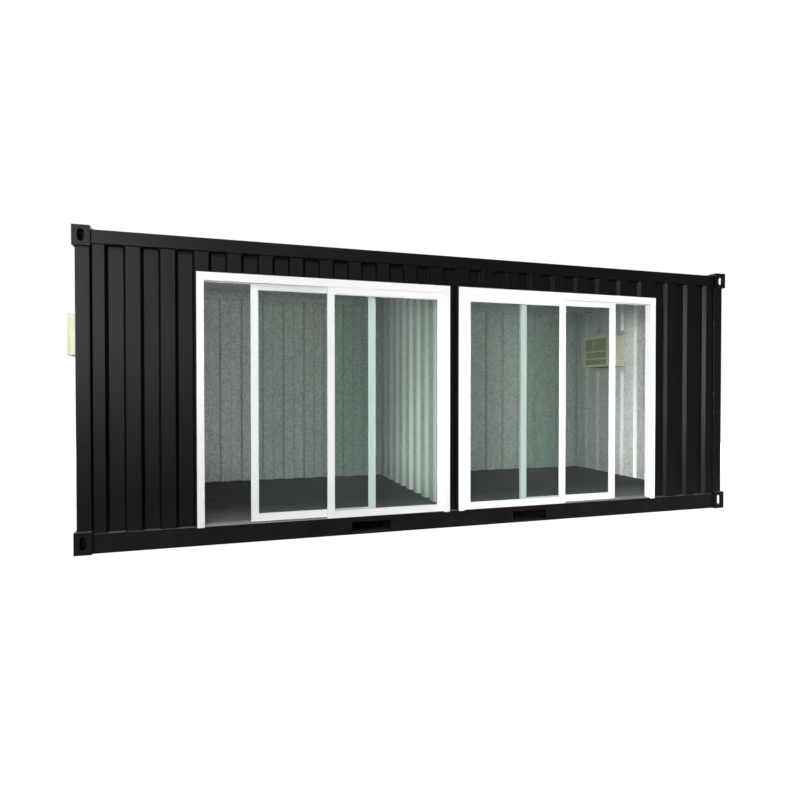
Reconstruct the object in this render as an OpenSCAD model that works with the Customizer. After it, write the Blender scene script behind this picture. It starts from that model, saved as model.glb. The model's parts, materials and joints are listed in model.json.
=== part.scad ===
// Twenty-foot shipping container fitted out as two rooms. Each room has a sliding
// glass door in the long front wall and an air conditioner through its end wall.
// Millimetres. +Z is up, the doors face -Y, and the origin is at ground level
// under the middle of the container.

/* [Overall size] */
// Length over the corner castings
container_length = 6058; // [5600:1:12192]
// Width over the corner castings
container_width = 2438; // [2200:1:3000]
// Height over the corner castings
container_height = 2438; // [2420:1:2960]

/* [Corner castings] */
// Size of a casting along the length of the container
casting_length = 124; // [116:1:150]
// Size of a casting across the end
casting_width = 120; // [112:1:150]
// Height of a bottom casting
bottom_casting_height = 170; // [150:1:220]
// Height of a top casting
top_casting_height = 150; // [134:1:180]
// Thickness of the casting walls
casting_wall = 20; // [8:1:22]
// Width of the upright holes in the side and end faces
casting_hole_width = 45; // [30:1:55]
// Metal left above and below an upright hole
casting_hole_margin = 30; // [25:1:40]
// Width of the lock slots in the bottom and top faces
lock_slot_width = 50; // [30:1:60]
// End-to-end length of the lock slots
lock_slot_length = 90; // [64:1:92]

/* [Corner posts] */
// Width of a post, seen from the side of the container
post_width = 102; // [60:1:108]
// Distance of the posts behind the end faces of the castings
post_end_inset = 16; // [5:1:16]
// Distance of the posts behind the side faces of the castings
post_side_inset = 24; // [5:1:29]
// Plate thickness of the posts
post_plate = 6; // [4:1:10]

/* [Rails] */
// Distance of the side rails behind the side faces of the castings
rail_inset = 20; // [18:1:24]
// Distance of the end rails behind the end faces of the castings
end_rail_inset = 30; // [20:1:40]
// Clear height under the bottom rails
rail_clearance = 3; // [2:1:16]
// Height of the top of the bottom rails
bottom_rail_top = 150; // [140:1:160]
// Plate thickness of the bottom rails
bottom_rail_plate = 6; // [4:1:8]
// Height of the top rails
top_rail_height = 106; // [60:1:120]
// Depth of the top side rails
top_rail_depth = 60; // [50:1:80]
// Plate thickness of the top rails
top_rail_plate = 4; // [3:1:8]
// Step from the tops of the castings down to the top rails and roof
roof_step = 24; // [10:1:60]

/* [Corrugated sheet] */
// Thickness of the wall sheet
sheet = 2; // [1.5:0.1:3]
// Distance of the wall flats behind the side faces of the castings
wall_inset = 30; // [26:1:36]
// Width of each flat of the wall sheet
wall_flat = 103; // [70:1:110]
// Width of each slope of the wall sheet
wall_slope = 20; // [14:1:30]
// Depth of the wall corrugation
wall_depth = 36; // [25:1:45]
// Distance from the end of the container to the first slope of the side sheet
first_slope = 214; // [180:1:240]
// Distance of the end wall sheets behind the end faces of the castings
end_wall_inset = 134; // [130:1:150]
// Width of each flat of the roof sheet
roof_flat = 120; // [90:1:130]
// Depth of the roof corrugation
roof_depth = 20; // [15:1:30]

/* [Floor] */
// Height of the floor surface
floor_top = 160; // [155:1:180]
// Thickness of the floor boards
floor_board = 28; // [21:1:30]
// Flange width of a cross-member
cross_member_flange = 45; // [35:1:60]
// Plate thickness of a cross-member
cross_member_plate = 4.5; // [3:0.5:8]
// Largest distance between cross-members
cross_member_spacing = 320; // [280:1:600]
// Distance between the middles of the two fork pockets
fork_pocket_spacing = 1521; // [900:1:2050]
// Clear width of a fork pocket
fork_pocket_width = 345; // [300:1:380]
// Height of the top of the fork pockets
fork_pocket_top = 108; // [90:1:120]

/* [Sliding doors] */
// Width of the wall strip between the two door frames
centre_strip = 88; // [60:1:120]
// Outer width of a door frame
frame_width = 2124; // [1700:1:2200]
// Height of the top of the door frames above the ground
frame_top = 2148; // [1900:1:2200]
// Face width of the upright frame members
jamb_width = 55; // [40:1:80]
// Face height of the head of the frame
head_height = 65; // [45:1:90]
// Distance of the frame front behind the side faces of the castings
frame_inset = 15; // [5:1:17]
// Drop of the frame's front edge over the bottom rail
frame_lip = 6; // [0:1:12]
// Width of one glazed leaf
leaf_width = 1040; // [880:1:1080]
// Thickness of a leaf
leaf_thickness = 32; // [32:1:36]
// Face width of the leaf uprights
stile_width = 58; // [45:1:80]
// Face height of the top and bottom of a leaf
leaf_rail_height = 58; // [45:1:90]
// Distance of the front of the fixed leaf behind the side faces of the castings
fixed_leaf_inset = 20; // [18:1:28]
// Clear gap around the moving leaf
leaf_clearance = 5; // [5:0.5:6]
// How far the left door stands open
left_opening = 356; // [20:1:600]
// How far the right door stands open
right_opening = 389; // [20:1:600]
// Thickness of the sill plate
sill_plate = 2; // [1:0.5:4]
// Height of the track rib on the sill plate
track_rib = 2; // [1:0.5:3]
// Radius of a roller
roller_radius = 14; // [10:1:18]
// Thickness of the glass
glass = 6; // [4:1:8]
// Distance of the glass behind the front of its leaf
glass_setback = 22; // [10:1:22]
// Depth of the groove that holds the glass
glass_groove = 12; // [6:1:20]

/* [Partition] */
// Position along the length of the partition face in the left room
partition_face = -54; // [-60:1:-40]

/* [Air conditioners] */
// Width of a unit
ac_width = 500; // [400:1:700]
// Height of a unit
ac_height = 395; // [300:1:450]
// Height of the underside of the left unit above the ground
left_ac_bottom = 1555; // [900:1:1700]
// Height of the underside of the right unit above the ground
right_ac_bottom = 1530; // [900:1:1700]
// Distance of the middle of a unit behind the middle of the end wall
ac_offset = 378; // [-600:1:600]
// Reach of a unit into the room, from the end face of the castings
ac_inner_reach = 426; // [300:1:600]
// Reach of a unit outside the end face of the castings
ac_outer_reach = 333; // [150:1:450]
// Sheet thickness of the casing
ac_sheet = 3; // [2:1:5]
// Thickness of the room-side and outdoor panels
ac_panel = 20; // [12:1:30]
// Border around the grilles
ac_border = 30; // [20:1:45]
// Width of a grille bar
ac_bar = 6; // [4:1:10]
// Number of grille openings across the room-side panel
ac_columns = 6; // [3:1:12]
// Number of grille openings up the room-side panel
ac_rows = 6; // [3:1:12]
// Number of louvre openings up the outdoor panel
ac_louvres = 12; // [6:1:16]

/* [Hidden] */
half_length = container_length / 2;
half_width = container_width / 2;
front = -half_width;
pitch = 2 * (wall_flat + wall_slope);
wave_count = ceil(container_length / pitch);
post_inner_end = post_end_inset + post_width;
end_wall_back = end_wall_inset + wall_depth + sheet;
end_rail_lap = 4;
end_rail_back = end_wall_back + end_rail_lap;
wall_inner = wall_inset + wall_depth + sheet;
top_rail_top = container_height - roof_step;
top_rail_bottom = top_rail_top - top_rail_height;
wall_height = top_rail_bottom - bottom_rail_top;
clear_width = container_width - 2 * casting_width;
floor_bottom = floor_top - floor_board;
cross_member_gap = 2;
cross_member_bottom = rail_clearance + bottom_rail_plate + cross_member_gap;
cross_member_height = floor_bottom - cross_member_bottom;
cross_member_length = container_width - 2 * (rail_inset + bottom_rail_plate);
fork_pocket_bottom = rail_clearance + bottom_rail_plate;
fork_pocket_plate = 6;
sheet_start = casting_length - first_slope;
sheet_edge = 2;
first_turn = 6;
first_flat_start = sheet_start + sheet_edge + first_turn;
frame_outer = centre_strip / 2 + frame_width;
jamb_inner = frame_outer - jamb_width;
meeting_jamb_inner = centre_strip / 2 + jamb_width;
head_bottom = frame_top - head_height;
sill_top = bottom_rail_top + sill_plate;
rib_top = sill_top + track_rib;
moving_leaf_inset = fixed_leaf_inset + leaf_thickness + leaf_clearance;
moving_leaf_bottom = rib_top + leaf_clearance;
head_lap = 12;
moving_leaf_top = head_bottom + head_lap;
head_pocket_top = moving_leaf_top + 2 * leaf_clearance;
head_back_wall = 5;
head_pocket_back = moving_leaf_inset + leaf_thickness + leaf_clearance;
frame_back = head_pocket_back + head_back_wall;
track_middle = moving_leaf_inset + leaf_thickness / 2;
rib_width = 6;
roller_width = 8;
roller_gap = 0.3;
roller_side_gap = 3;
roller_end_gap = 6;
roller_from_end = 140;
axle_cover = 2;
partition_depth = wall_depth + sheet;
partition_cap = 28;
end_wall_cap = 59;
roof_slope = 16;
roof_pitch = 2 * (roof_flat + roof_slope);
roof_count = ceil((half_length - end_rail_back) / roof_pitch);
ac_from = half_length - ac_inner_reach;
ac_depth = ac_inner_reach + ac_outer_reach;
ac_panel_back = 8;
body_black = [0.13, 0.14, 0.14];
frame_white = [0.96, 0.96, 0.96];
glass_green = [0.72, 0.82, 0.77, 0.4];
unit_cream = [0.94, 0.94, 0.84];
bare_steel = [0.45, 0.46, 0.46];

// ---- Helpers ----

// Box between two opposite corners
module block(from, to) {
    translate(from) cube(to - from);
}

// The children and their mirror image at the other end
module both_ends() {
    children();
    mirror([1, 0, 0]) children();
}

// The children and their mirror image at the other side
module both_sides() {
    children();
    mirror([0, 1, 0]) children();
}

// Rectangular tube between two opposite corners, open along Y
module tube_along_y(from, to, plate) {
    difference() {
        block(from, to);
        block(from + [plate, -1, plate], to + [-plate, 1, -plate]);
    }
}

// Shift of a bend between the two faces of a sheet
function bend(rise, run) = sheet * tan(atan(rise / run) / 2);

// One face of a corrugated sheet, as [distance, depth] points
function wave_face(count, flat, slope, rise, level, shift) = [
    for (n = [0:count - 1])
        let (start = n * 2 * (flat + slope))
        each [
            [start - shift, level],
            [start + slope - shift, rise + level],
            [start + slope + flat + shift, rise + level],
            [start + 2 * slope + flat + shift, level]
        ]
];

function backwards(points) = [for (i = [len(points) - 1:-1:0]) points[i]];

// Cross-section of a sheet with a plain flat ahead of its first slope
module sheet_section(count, cap, flat, slope, rise) {
    last = count * 2 * (flat + slope);
    polygon(concat(
        [[-cap, 0]],
        wave_face(count, flat, slope, rise, 0, 0),
        [[last, 0], [last, sheet]],
        backwards(wave_face(count, flat, slope, rise, sheet, bend(rise, slope))),
        [[-cap, sheet]]
    ));
}

// One face of a side sheet, which turns in beside the corner post
function side_sheet_face(level, first_shift, shift) = concat(
    [
        [sheet_start, wall_depth + level],
        [sheet_start + sheet_edge + first_shift, wall_depth + level],
        [first_flat_start + first_shift, level]
    ],
    wave_face(wave_count, wall_flat, wall_slope, wall_depth, level, shift),
    [[wave_count * pitch, level]]
);

function side_sheet_inner_face() =
    side_sheet_face(sheet, bend(wall_depth, first_turn), bend(wall_depth, wall_slope));

// Front side sheet between two distances along X and two heights, counted from the left post
module side_sheet(from_x, to_x, from_z, to_z) {
    intersection() {
        translate([-half_length + first_slope, front + wall_inset, from_z])
            linear_extrude(to_z - from_z)
                polygon(concat(side_sheet_face(0, 0, 0), backwards(side_sheet_inner_face())));
        block([from_x, front, from_z - 1], [to_x, front + casting_width, to_z + 1]);
    }
}

// The front side sheet and all that lies outside it, to fit a piece against its inner face
module beyond_side_sheet() {
    translate([-half_length + first_slope, front + wall_inset, 0])
        linear_extrude(container_height)
            polygon(concat(
                [[sheet_start, -wall_inset], [wave_count * pitch, -wall_inset]],
                backwards(side_sheet_inner_face())
            ));
}

// ---- Base frame ----

// Channel along the front, open towards the middle, with the two fork holes
module bottom_side_rail() {
    difference() {
        block(
            [-half_length + casting_length, front + rail_inset, rail_clearance],
            [half_length - casting_length, front + casting_width, bottom_rail_top]
        );
        block(
            [-half_length, front + rail_inset + bottom_rail_plate, rail_clearance + bottom_rail_plate],
            [half_length, front + casting_width + 1, bottom_rail_top - bottom_rail_plate]
        );
        both_ends() translate([fork_pocket_spacing / 2 - fork_pocket_width / 2, front, fork_pocket_bottom])
            cube([fork_pocket_width, casting_width / 2, fork_pocket_top - fork_pocket_bottom]);
    }
}

module bottom_rail_front() {
    color(body_black) bottom_side_rail();
}

module bottom_rail_back() {
    color(body_black) mirror([0, 1, 0]) bottom_side_rail();
}

module bottom_end_rails() {
    color(body_black) both_ends() tube_along_y(
        [-half_length + end_rail_inset, -clear_width / 2, rail_clearance],
        [-half_length + end_rail_back, clear_width / 2, bottom_rail_top],
        bottom_rail_plate
    );
}

// One channel across the base, open towards +X
module cross_member(x) {
    translate([x, -cross_member_length / 2, cross_member_bottom])
        difference() {
            cube([cross_member_flange, cross_member_length, cross_member_height]);
            translate([cross_member_plate, -1, cross_member_plate])
                cube([
                    cross_member_flange,
                    cross_member_length + 2,
                    cross_member_height - 2 * cross_member_plate
                ]);
        }
}

// Evenly spaced cross-members between two distances along X, both ends left free
module cross_member_run(from_x, to_x) {
    gaps = ceil((to_x - from_x) / cross_member_spacing);
    step = (to_x - from_x) / gaps;
    for (i = [1:gaps - 1]) cross_member(from_x + i * step - cross_member_flange / 2);
}

module cross_members() {
    pocket_near = fork_pocket_spacing / 2 - fork_pocket_width / 2 - fork_pocket_plate;
    pocket_far = fork_pocket_spacing / 2 + fork_pocket_width / 2 + fork_pocket_plate;
    color(body_black) {
        cross_member_run(-half_length + end_rail_back, -pocket_far);
        cross_member_run(-pocket_near, pocket_near);
        cross_member_run(pocket_far, half_length - end_rail_back);
    }
}

// Two tunnels that guide the forks from side to side, with a floor between the rails
module fork_pockets() {
    outer_width = fork_pocket_width + 2 * fork_pocket_plate;
    color(body_black) both_ends()
        translate([fork_pocket_spacing / 2, 0, 0])
            difference() {
                union() {
                    block(
                        [-outer_width / 2, -cross_member_length / 2, fork_pocket_bottom],
                        [outer_width / 2, cross_member_length / 2, floor_bottom]
                    );
                    block(
                        [-outer_width / 2, -clear_width / 2, rail_clearance],
                        [outer_width / 2, clear_width / 2, floor_bottom]
                    );
                }
                block(
                    [-fork_pocket_width / 2, -half_width, fork_pocket_bottom],
                    [fork_pocket_width / 2, half_width, fork_pocket_top]
                );
            }
}

module floor() {
    color(bare_steel) block(
        [-half_length + end_rail_back, -clear_width / 2, floor_bottom],
        [half_length - end_rail_back, clear_width / 2, floor_top]
    );
}

// ---- Corner castings and posts ----

// Rounded slot along Z, from below zero to the given depth
module slot(length, width, depth) {
    straight = length - width;
    for (side = [-1, 1]) translate([side * straight / 2, 0, -1]) cylinder(d = width, h = depth + 2, $fn = 48);
    translate([-straight / 2, -width / 2, -1]) cube([straight, width, depth + 2]);
}

// Hollow casting in its own corner: end face at X = 0, side face at Y = 0, lock face at Z = 0
module casting(height) {
    hole_height = height - 2 * casting_hole_margin;
    difference() {
        cube([casting_length, casting_width, height]);
        translate([casting_wall, casting_wall, casting_wall])
            cube([casting_length - 2 * casting_wall, casting_width - 2 * casting_wall, height - 2 * casting_wall]);
        translate([casting_length / 2, casting_width / 2, 0])
            slot(lock_slot_length, lock_slot_width, casting_wall);
        translate([casting_length / 2, casting_wall, height / 2]) rotate([90, 0, 0])
            rotate([0, 0, 90]) slot(hole_height, casting_hole_width, casting_wall);
        translate([0, casting_width / 2, height / 2]) rotate([0, 90, 0])
            slot(hole_height, casting_hole_width, casting_wall);
    }
}

// Four castings, one in each corner
module four_castings(height) {
    both_ends() both_sides() translate([-half_length, -half_width, 0]) casting(height);
}

module castings_bottom() {
    color(body_black) four_castings(bottom_casting_height);
}

module castings_top() {
    color(body_black) translate([0, 0, container_height]) mirror([0, 0, 1]) four_castings(top_casting_height);
}

// Hollow post with a leg that carries the end wall and backs the side sheet
module corner_post() {
    post_top = container_height - top_casting_height;
    difference() {
        union() {
            block(
                [post_end_inset, post_side_inset, bottom_casting_height],
                [post_inner_end, casting_width, post_top]
            );
            block(
                [post_inner_end - 1, wall_inner, bottom_casting_height],
                [end_wall_back, casting_width, post_top]
            );
            block(
                [casting_length, wall_inner, bottom_rail_top],
                [end_wall_back, casting_width, top_rail_bottom]
            );
        }
        block(
            [post_end_inset + post_plate, post_side_inset + post_plate, 0],
            [post_inner_end - post_plate, casting_width - post_plate, container_height]
        );
        block(
            [casting_length + post_plate, wall_inner + post_plate, 0],
            [end_wall_back - post_plate, casting_width - post_plate, container_height]
        );
    }
}

module corner_posts() {
    color(body_black) both_ends() both_sides() translate([-half_length, -half_width, 0]) corner_post();
}

// ---- Top frame and roof ----

// Box section along the front
module top_side_rail() {
    difference() {
        block(
            [-half_length + casting_length, front + rail_inset, top_rail_bottom],
            [half_length - casting_length, front + rail_inset + top_rail_depth, top_rail_top]
        );
        block(
            [-half_length, front + rail_inset + top_rail_plate, top_rail_bottom + top_rail_plate],
            [half_length, front + rail_inset + top_rail_depth - top_rail_plate, top_rail_top - top_rail_plate]
        );
    }
}

module top_rail_front() {
    color(body_black) top_side_rail();
}

module top_rail_back() {
    color(body_black) mirror([0, 1, 0]) top_side_rail();
}

module top_end_rails() {
    shoulder = half_width - rail_inset - top_rail_depth;
    color(body_black) both_ends() {
        tube_along_y(
            [-half_length + end_rail_inset, -clear_width / 2, top_rail_bottom],
            [-half_length + end_rail_back, clear_width / 2, top_rail_top],
            top_rail_plate
        );
        both_sides() block(
            [-half_length + casting_length, -shoulder, top_rail_bottom],
            [-half_length + end_rail_back, -clear_width / 2, top_rail_top]
        );
    }
}

// Sheet with ridges from side to side, low in the middle of the container
module roof() {
    span = container_width - 2 * (rail_inset + top_rail_depth);
    low = roof_flat / 2;
    color(body_black) intersection() {
        both_ends() translate([low, span / 2, top_rail_top - roof_depth - sheet]) rotate([90, 0, 0])
            linear_extrude(span) sheet_section(roof_count, low, roof_flat, roof_slope, roof_depth);
        block(
            [-half_length + end_rail_back, -half_width, 0],
            [half_length - end_rail_back, half_width, container_height]
        );
    }
}

// ---- Walls ----

module front_wall_left() {
    color(body_black)
        side_sheet(-half_length + casting_length, -frame_outer, bottom_rail_top, top_rail_bottom);
}

module front_wall_right() {
    color(body_black) mirror([1, 0, 0])
        side_sheet(-half_length + casting_length, -frame_outer, bottom_rail_top, top_rail_bottom);
}

// Sheet over both doors, with its last flat carried on to meet the right wall
module front_header() {
    sheet_from = -half_length + first_slope;
    last_wave = floor((frame_outer - sheet_from) / pitch);
    flat_from = sheet_from + last_wave * pitch - wall_flat / 2;
    color(body_black) {
        side_sheet(-frame_outer, flat_from, frame_top, top_rail_bottom);
        block(
            [flat_from - 1, front + wall_inset, frame_top],
            [frame_outer, front + wall_inset + sheet, top_rail_bottom]
        );
    }
}

module front_centre_strip() {
    color(body_black) side_sheet(-centre_strip / 2, centre_strip / 2, bottom_rail_top, frame_top);
}

// Channel behind the strip and header, from rail to rail, with its edges cut to fit the sheet
module centre_post() {
    color(body_black) difference() {
        block(
            [-centre_strip / 2, front + wall_inset, bottom_rail_top],
            [centre_strip / 2, front + casting_width, top_rail_bottom]
        );
        block(
            [-centre_strip / 2 + post_plate, front, 0],
            [centre_strip / 2 - post_plate, front + casting_width - post_plate, container_height]
        );
        beyond_side_sheet();
    }
}

module back_wall() {
    color(body_black) rotate([0, 0, 180]) side_sheet(
        -half_length + casting_length, half_length - casting_length, bottom_rail_top, top_rail_bottom
    );
}

// Left end sheet, cut out for an air conditioner
module end_wall(ac_bottom) {
    count = ceil(clear_width / pitch);
    difference() {
        intersection() {
            translate([-half_length + end_wall_inset, -clear_width / 2 + end_wall_cap, bottom_rail_top])
                mirror([1, 0, 0]) rotate([0, 0, 90]) linear_extrude(wall_height)
                    sheet_section(count, end_wall_cap, wall_flat, wall_slope, wall_depth);
            block([-half_length, -clear_width / 2, 0], [0, clear_width / 2, container_height]);
        }
        ac_space(ac_bottom);
    }
}

module end_wall_left() {
    color(body_black) end_wall(left_ac_bottom);
}

module end_wall_right() {
    color(body_black) mirror([1, 0, 0]) end_wall(right_ac_bottom);
}

// Sheet across the container, cut to fit the back wall and notched under the back rail
module partition() {
    count = ceil(container_width / pitch);
    top = top_rail_top - roof_depth - sheet;
    color(body_black) difference() {
        intersection() {
            translate([partition_face + partition_depth, front + casting_width + partition_cap, floor_top])
                rotate([0, 0, 90]) linear_extrude(top - floor_top)
                    sheet_section(count, partition_cap, wall_flat, wall_slope, wall_depth);
            block([-half_length, front, 0], [half_length, half_width - wall_inset, container_height]);
        }
        rotate([0, 0, 180]) beyond_side_sheet();
        block(
            [-half_length, half_width - rail_inset - top_rail_depth, top_rail_bottom],
            [half_length, half_width, container_height]
        );
    }
}

// ---- Sliding doors, drawn for the left room ----

// Uprights and head, with a pocket in the head for the moving leaf
module door_frame() {
    color(frame_white) difference() {
        block(
            [-frame_outer, front + frame_inset, bottom_rail_top - frame_lip],
            [-centre_strip / 2, front + frame_back, frame_top]
        );
        block(
            [-jamb_inner, front, 0],
            [-meeting_jamb_inner, front + frame_back + 1, head_bottom]
        );
        block(
            [-jamb_inner, front + moving_leaf_inset - leaf_clearance, head_bottom - 1],
            [-meeting_jamb_inner, front + head_pocket_back, head_pocket_top]
        );
        block(
            [-frame_outer - 1, front + rail_inset, 0],
            [0, front + frame_back + 1, bottom_rail_top]
        );
    }
}

module door_sill() {
    color(bare_steel) {
        block(
            [-jamb_inner, front + rail_inset, bottom_rail_top],
            [-meeting_jamb_inner, front + casting_width, sill_top]
        );
        block(
            [-jamb_inner, front + track_middle - rib_width / 2, bottom_rail_top],
            [-meeting_jamb_inner, front + track_middle + rib_width / 2, rib_top]
        );
    }
}

// Glazed leaf in its own corner, with its front at Y = 0
module leaf_frame(height) {
    groove = stile_width - glass_groove;
    difference() {
        cube([leaf_width, leaf_thickness, height]);
        block(
            [stile_width, -1, leaf_rail_height],
            [leaf_width - stile_width, leaf_thickness + 1, height - leaf_rail_height]
        );
        translate([groove, 0, leaf_rail_height - glass_groove]) glass_pane(height);
    }
}

module glass_pane(height) {
    groove = stile_width - glass_groove;
    translate([0, glass_setback, 0])
        cube([leaf_width - 2 * groove, glass, height - 2 * (leaf_rail_height - glass_groove)]);
}

// Places a leaf's glass in the leaf's own corner
module seated_glass(height) {
    translate([stile_width - glass_groove, 0, leaf_rail_height - glass_groove]) glass_pane(height);
}

module fixed_leaf_place() {
    translate([-meeting_jamb_inner - leaf_width, front + fixed_leaf_inset, sill_top]) children();
}

module moving_leaf_place(opening) {
    translate([-jamb_inner + opening, front + moving_leaf_inset, moving_leaf_bottom]) children();
}

module fixed_leaf() {
    color(frame_white) fixed_leaf_place() leaf_frame(head_bottom - sill_top);
}

module fixed_glass() {
    color(glass_green) fixed_leaf_place() seated_glass(head_bottom - sill_top);
}

// Roller in its slot, held by an axle through the leaf
module roller(x) {
    middle = rib_top + roller_gap + roller_radius - moving_leaf_bottom;
    translate([x, leaf_thickness / 2, middle]) rotate([90, 0, 0]) {
        cylinder(r = roller_radius, h = roller_width, center = true, $fn = 48);
        cylinder(r = roller_radius / 3, h = leaf_thickness - 2 * axle_cover, center = true, $fn = 32);
    }
}

module roller_cut(x) {
    reach = roller_radius + roller_end_gap;
    slot_width = roller_width + 2 * roller_side_gap;
    translate([x - reach, leaf_thickness / 2 - slot_width / 2, -1])
        cube([2 * reach, slot_width, roller_radius + reach]);
}

module sliding_leaf(opening) {
    height = moving_leaf_top - moving_leaf_bottom;
    color(frame_white) moving_leaf_place(opening) {
        difference() {
            leaf_frame(height);
            for (x = [roller_from_end, leaf_width - roller_from_end]) roller_cut(x);
        }
        for (x = [roller_from_end, leaf_width - roller_from_end]) roller(x);
    }
}

module sliding_glass(opening) {
    color(glass_green) moving_leaf_place(opening) seated_glass(moving_leaf_top - moving_leaf_bottom);
}

// ---- Air conditioners, drawn for the left room ----

// Space that a unit takes up, through the end wall
module ac_space(bottom) {
    translate([-ac_from - ac_depth, ac_offset - ac_width / 2, bottom]) cube([ac_depth, ac_width, ac_height]);
}

module ac_casing(bottom) {
    color(unit_cream) difference() {
        block(
            [-ac_from - ac_depth + ac_panel, ac_offset - ac_width / 2, bottom],
            [-ac_from - ac_panel, ac_offset + ac_width / 2, bottom + ac_height]
        );
        block(
            [-half_length - ac_depth, ac_offset - ac_width / 2 + ac_sheet, bottom + ac_sheet],
            [0, ac_offset + ac_width / 2 - ac_sheet, bottom + ac_height - ac_sheet]
        );
    }
}

// Panel with rows and columns of openings over a closed back, front at X = 0
module grille_panel(columns, rows) {
    open_width = (ac_width - 2 * ac_border - (columns - 1) * ac_bar) / columns;
    open_height = (ac_height - 2 * ac_border - (rows - 1) * ac_bar) / rows;
    recess = ac_panel - ac_panel_back;
    difference() {
        translate([-ac_panel, 0, 0]) cube([ac_panel, ac_width, ac_height]);
        for (i = [0:columns - 1], j = [0:rows - 1]) translate([
            -recess,
            ac_border + i * (open_width + ac_bar),
            ac_border + j * (open_height + ac_bar)
        ]) cube([recess + 1, open_width, open_height]);
    }
}

module ac_room_grille(bottom) {
    color(unit_cream) translate([-ac_from, ac_offset - ac_width / 2, bottom])
        grille_panel(ac_columns, ac_rows);
}

module ac_outdoor_louvre(bottom) {
    color(unit_cream) translate([-ac_from - ac_depth, ac_offset - ac_width / 2, bottom])
        mirror([1, 0, 0]) grille_panel(1, ac_louvres);
}

// ---- One line for each node ----

bottom_rail_front();
bottom_rail_back();
bottom_end_rails();
cross_members();
fork_pockets();
floor();
castings_bottom();
castings_top();
corner_posts();
top_rail_front();
top_rail_back();
top_end_rails();
roof();
front_wall_left();
front_wall_right();
front_header();
front_centre_strip();
centre_post();
back_wall();
end_wall_left();
end_wall_right();
partition();
door_frame();  // left_door_frame
door_sill();  // left_door_sill
fixed_leaf();  // left_fixed_leaf
fixed_glass();  // left_fixed_glass
sliding_leaf(left_opening);  // left_sliding_leaf
sliding_glass(left_opening);  // left_sliding_glass
mirror([1, 0, 0]) door_frame();  // right_door_frame
mirror([1, 0, 0]) door_sill();  // right_door_sill
mirror([1, 0, 0]) fixed_leaf();  // right_fixed_leaf
mirror([1, 0, 0]) fixed_glass();  // right_fixed_glass
mirror([1, 0, 0]) sliding_leaf(right_opening);  // right_sliding_leaf
mirror([1, 0, 0]) sliding_glass(right_opening);  // right_sliding_glass
ac_casing(left_ac_bottom);  // left_ac_casing
ac_room_grille(left_ac_bottom);  // left_ac_room_grille
ac_outdoor_louvre(left_ac_bottom);  // left_ac_outdoor_louvre
mirror([1, 0, 0]) ac_casing(right_ac_bottom);  // right_ac_casing
mirror([1, 0, 0]) ac_room_grille(right_ac_bottom);  // right_ac_room_grille
mirror([1, 0, 0]) ac_outdoor_louvre(right_ac_bottom);  // right_ac_outdoor_louvre
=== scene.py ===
# %% [markdown]
# # A shipping container made into two rooms
#
# The real object is a steel box on eight cast corners. Rails join the corners, pressed sheet
# fills the sides, and two sliding glass doors and two air conditioners make it a pair of rooms.
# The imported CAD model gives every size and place, so this lesson only adds what the eye sees:
# rounded edges, bends in the sheet, welds, boards, screws, seals, and paint.

# %% The fixed frame
import json
import math

import bmesh
import bpy
from mathutils import Matrix, Vector


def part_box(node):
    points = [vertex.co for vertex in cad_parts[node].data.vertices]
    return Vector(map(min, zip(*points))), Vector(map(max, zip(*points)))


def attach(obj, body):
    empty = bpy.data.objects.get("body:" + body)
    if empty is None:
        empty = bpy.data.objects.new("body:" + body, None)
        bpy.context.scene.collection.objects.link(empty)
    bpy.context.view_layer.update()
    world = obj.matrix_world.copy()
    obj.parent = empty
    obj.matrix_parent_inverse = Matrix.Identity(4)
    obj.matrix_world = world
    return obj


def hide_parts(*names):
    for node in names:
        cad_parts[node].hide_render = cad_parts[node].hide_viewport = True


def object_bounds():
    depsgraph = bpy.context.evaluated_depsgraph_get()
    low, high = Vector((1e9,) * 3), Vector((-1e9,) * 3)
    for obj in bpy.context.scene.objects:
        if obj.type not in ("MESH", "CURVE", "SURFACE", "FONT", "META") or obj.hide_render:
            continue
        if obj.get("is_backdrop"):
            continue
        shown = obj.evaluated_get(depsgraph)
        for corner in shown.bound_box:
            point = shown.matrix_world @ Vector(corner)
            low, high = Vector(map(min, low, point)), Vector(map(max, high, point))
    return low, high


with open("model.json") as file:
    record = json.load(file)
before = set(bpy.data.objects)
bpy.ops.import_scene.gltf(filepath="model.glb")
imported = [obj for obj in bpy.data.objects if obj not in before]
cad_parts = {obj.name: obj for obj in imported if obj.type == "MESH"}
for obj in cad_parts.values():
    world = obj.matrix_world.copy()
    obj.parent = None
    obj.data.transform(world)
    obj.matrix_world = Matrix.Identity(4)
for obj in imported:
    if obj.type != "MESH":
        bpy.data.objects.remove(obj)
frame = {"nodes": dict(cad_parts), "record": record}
cad_low, cad_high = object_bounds()
print("CAD box", tuple(cad_low), tuple(cad_high))

# %% [markdown]
# ## Camera
#
# The camera stands at eye height, 4.8 m in front of the doors and left of the middle. It is
# turned 17 degrees to the right, so that the nearer left end looks taller than the right end.
# A fixed lens without shift or blur keeps the other views true as well.

# %% Camera
EYE = Vector((-1.994, -5.975, 1.207))
TILT_DOWN, TURN_RIGHT = 0.766, 17.276
camera_data = bpy.data.cameras.new("camera")
camera = bpy.data.objects.new("camera", camera_data)
camera.location = EYE
camera.rotation_euler = (math.radians(90 - TILT_DOWN), 0, math.radians(-TURN_RIGHT))
camera_data.lens = 26.02
camera_data.sensor_width = 36
bpy.context.scene.collection.objects.link(camera)
bpy.context.scene.camera = camera
print("camera at", tuple(EYE))

# %% [markdown]
# ## Small helpers for node trees
#
# Every material and every shape below is a node tree. Writing a tree by hand takes many lines,
# so `add` makes one node from the short name of its kind, sets its plain values and links the
# rest. What it gives back is a `Wire`, one output of the node. Plain arithmetic with wires adds
# Math nodes, and square brackets reach the other outputs of the same node.

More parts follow.
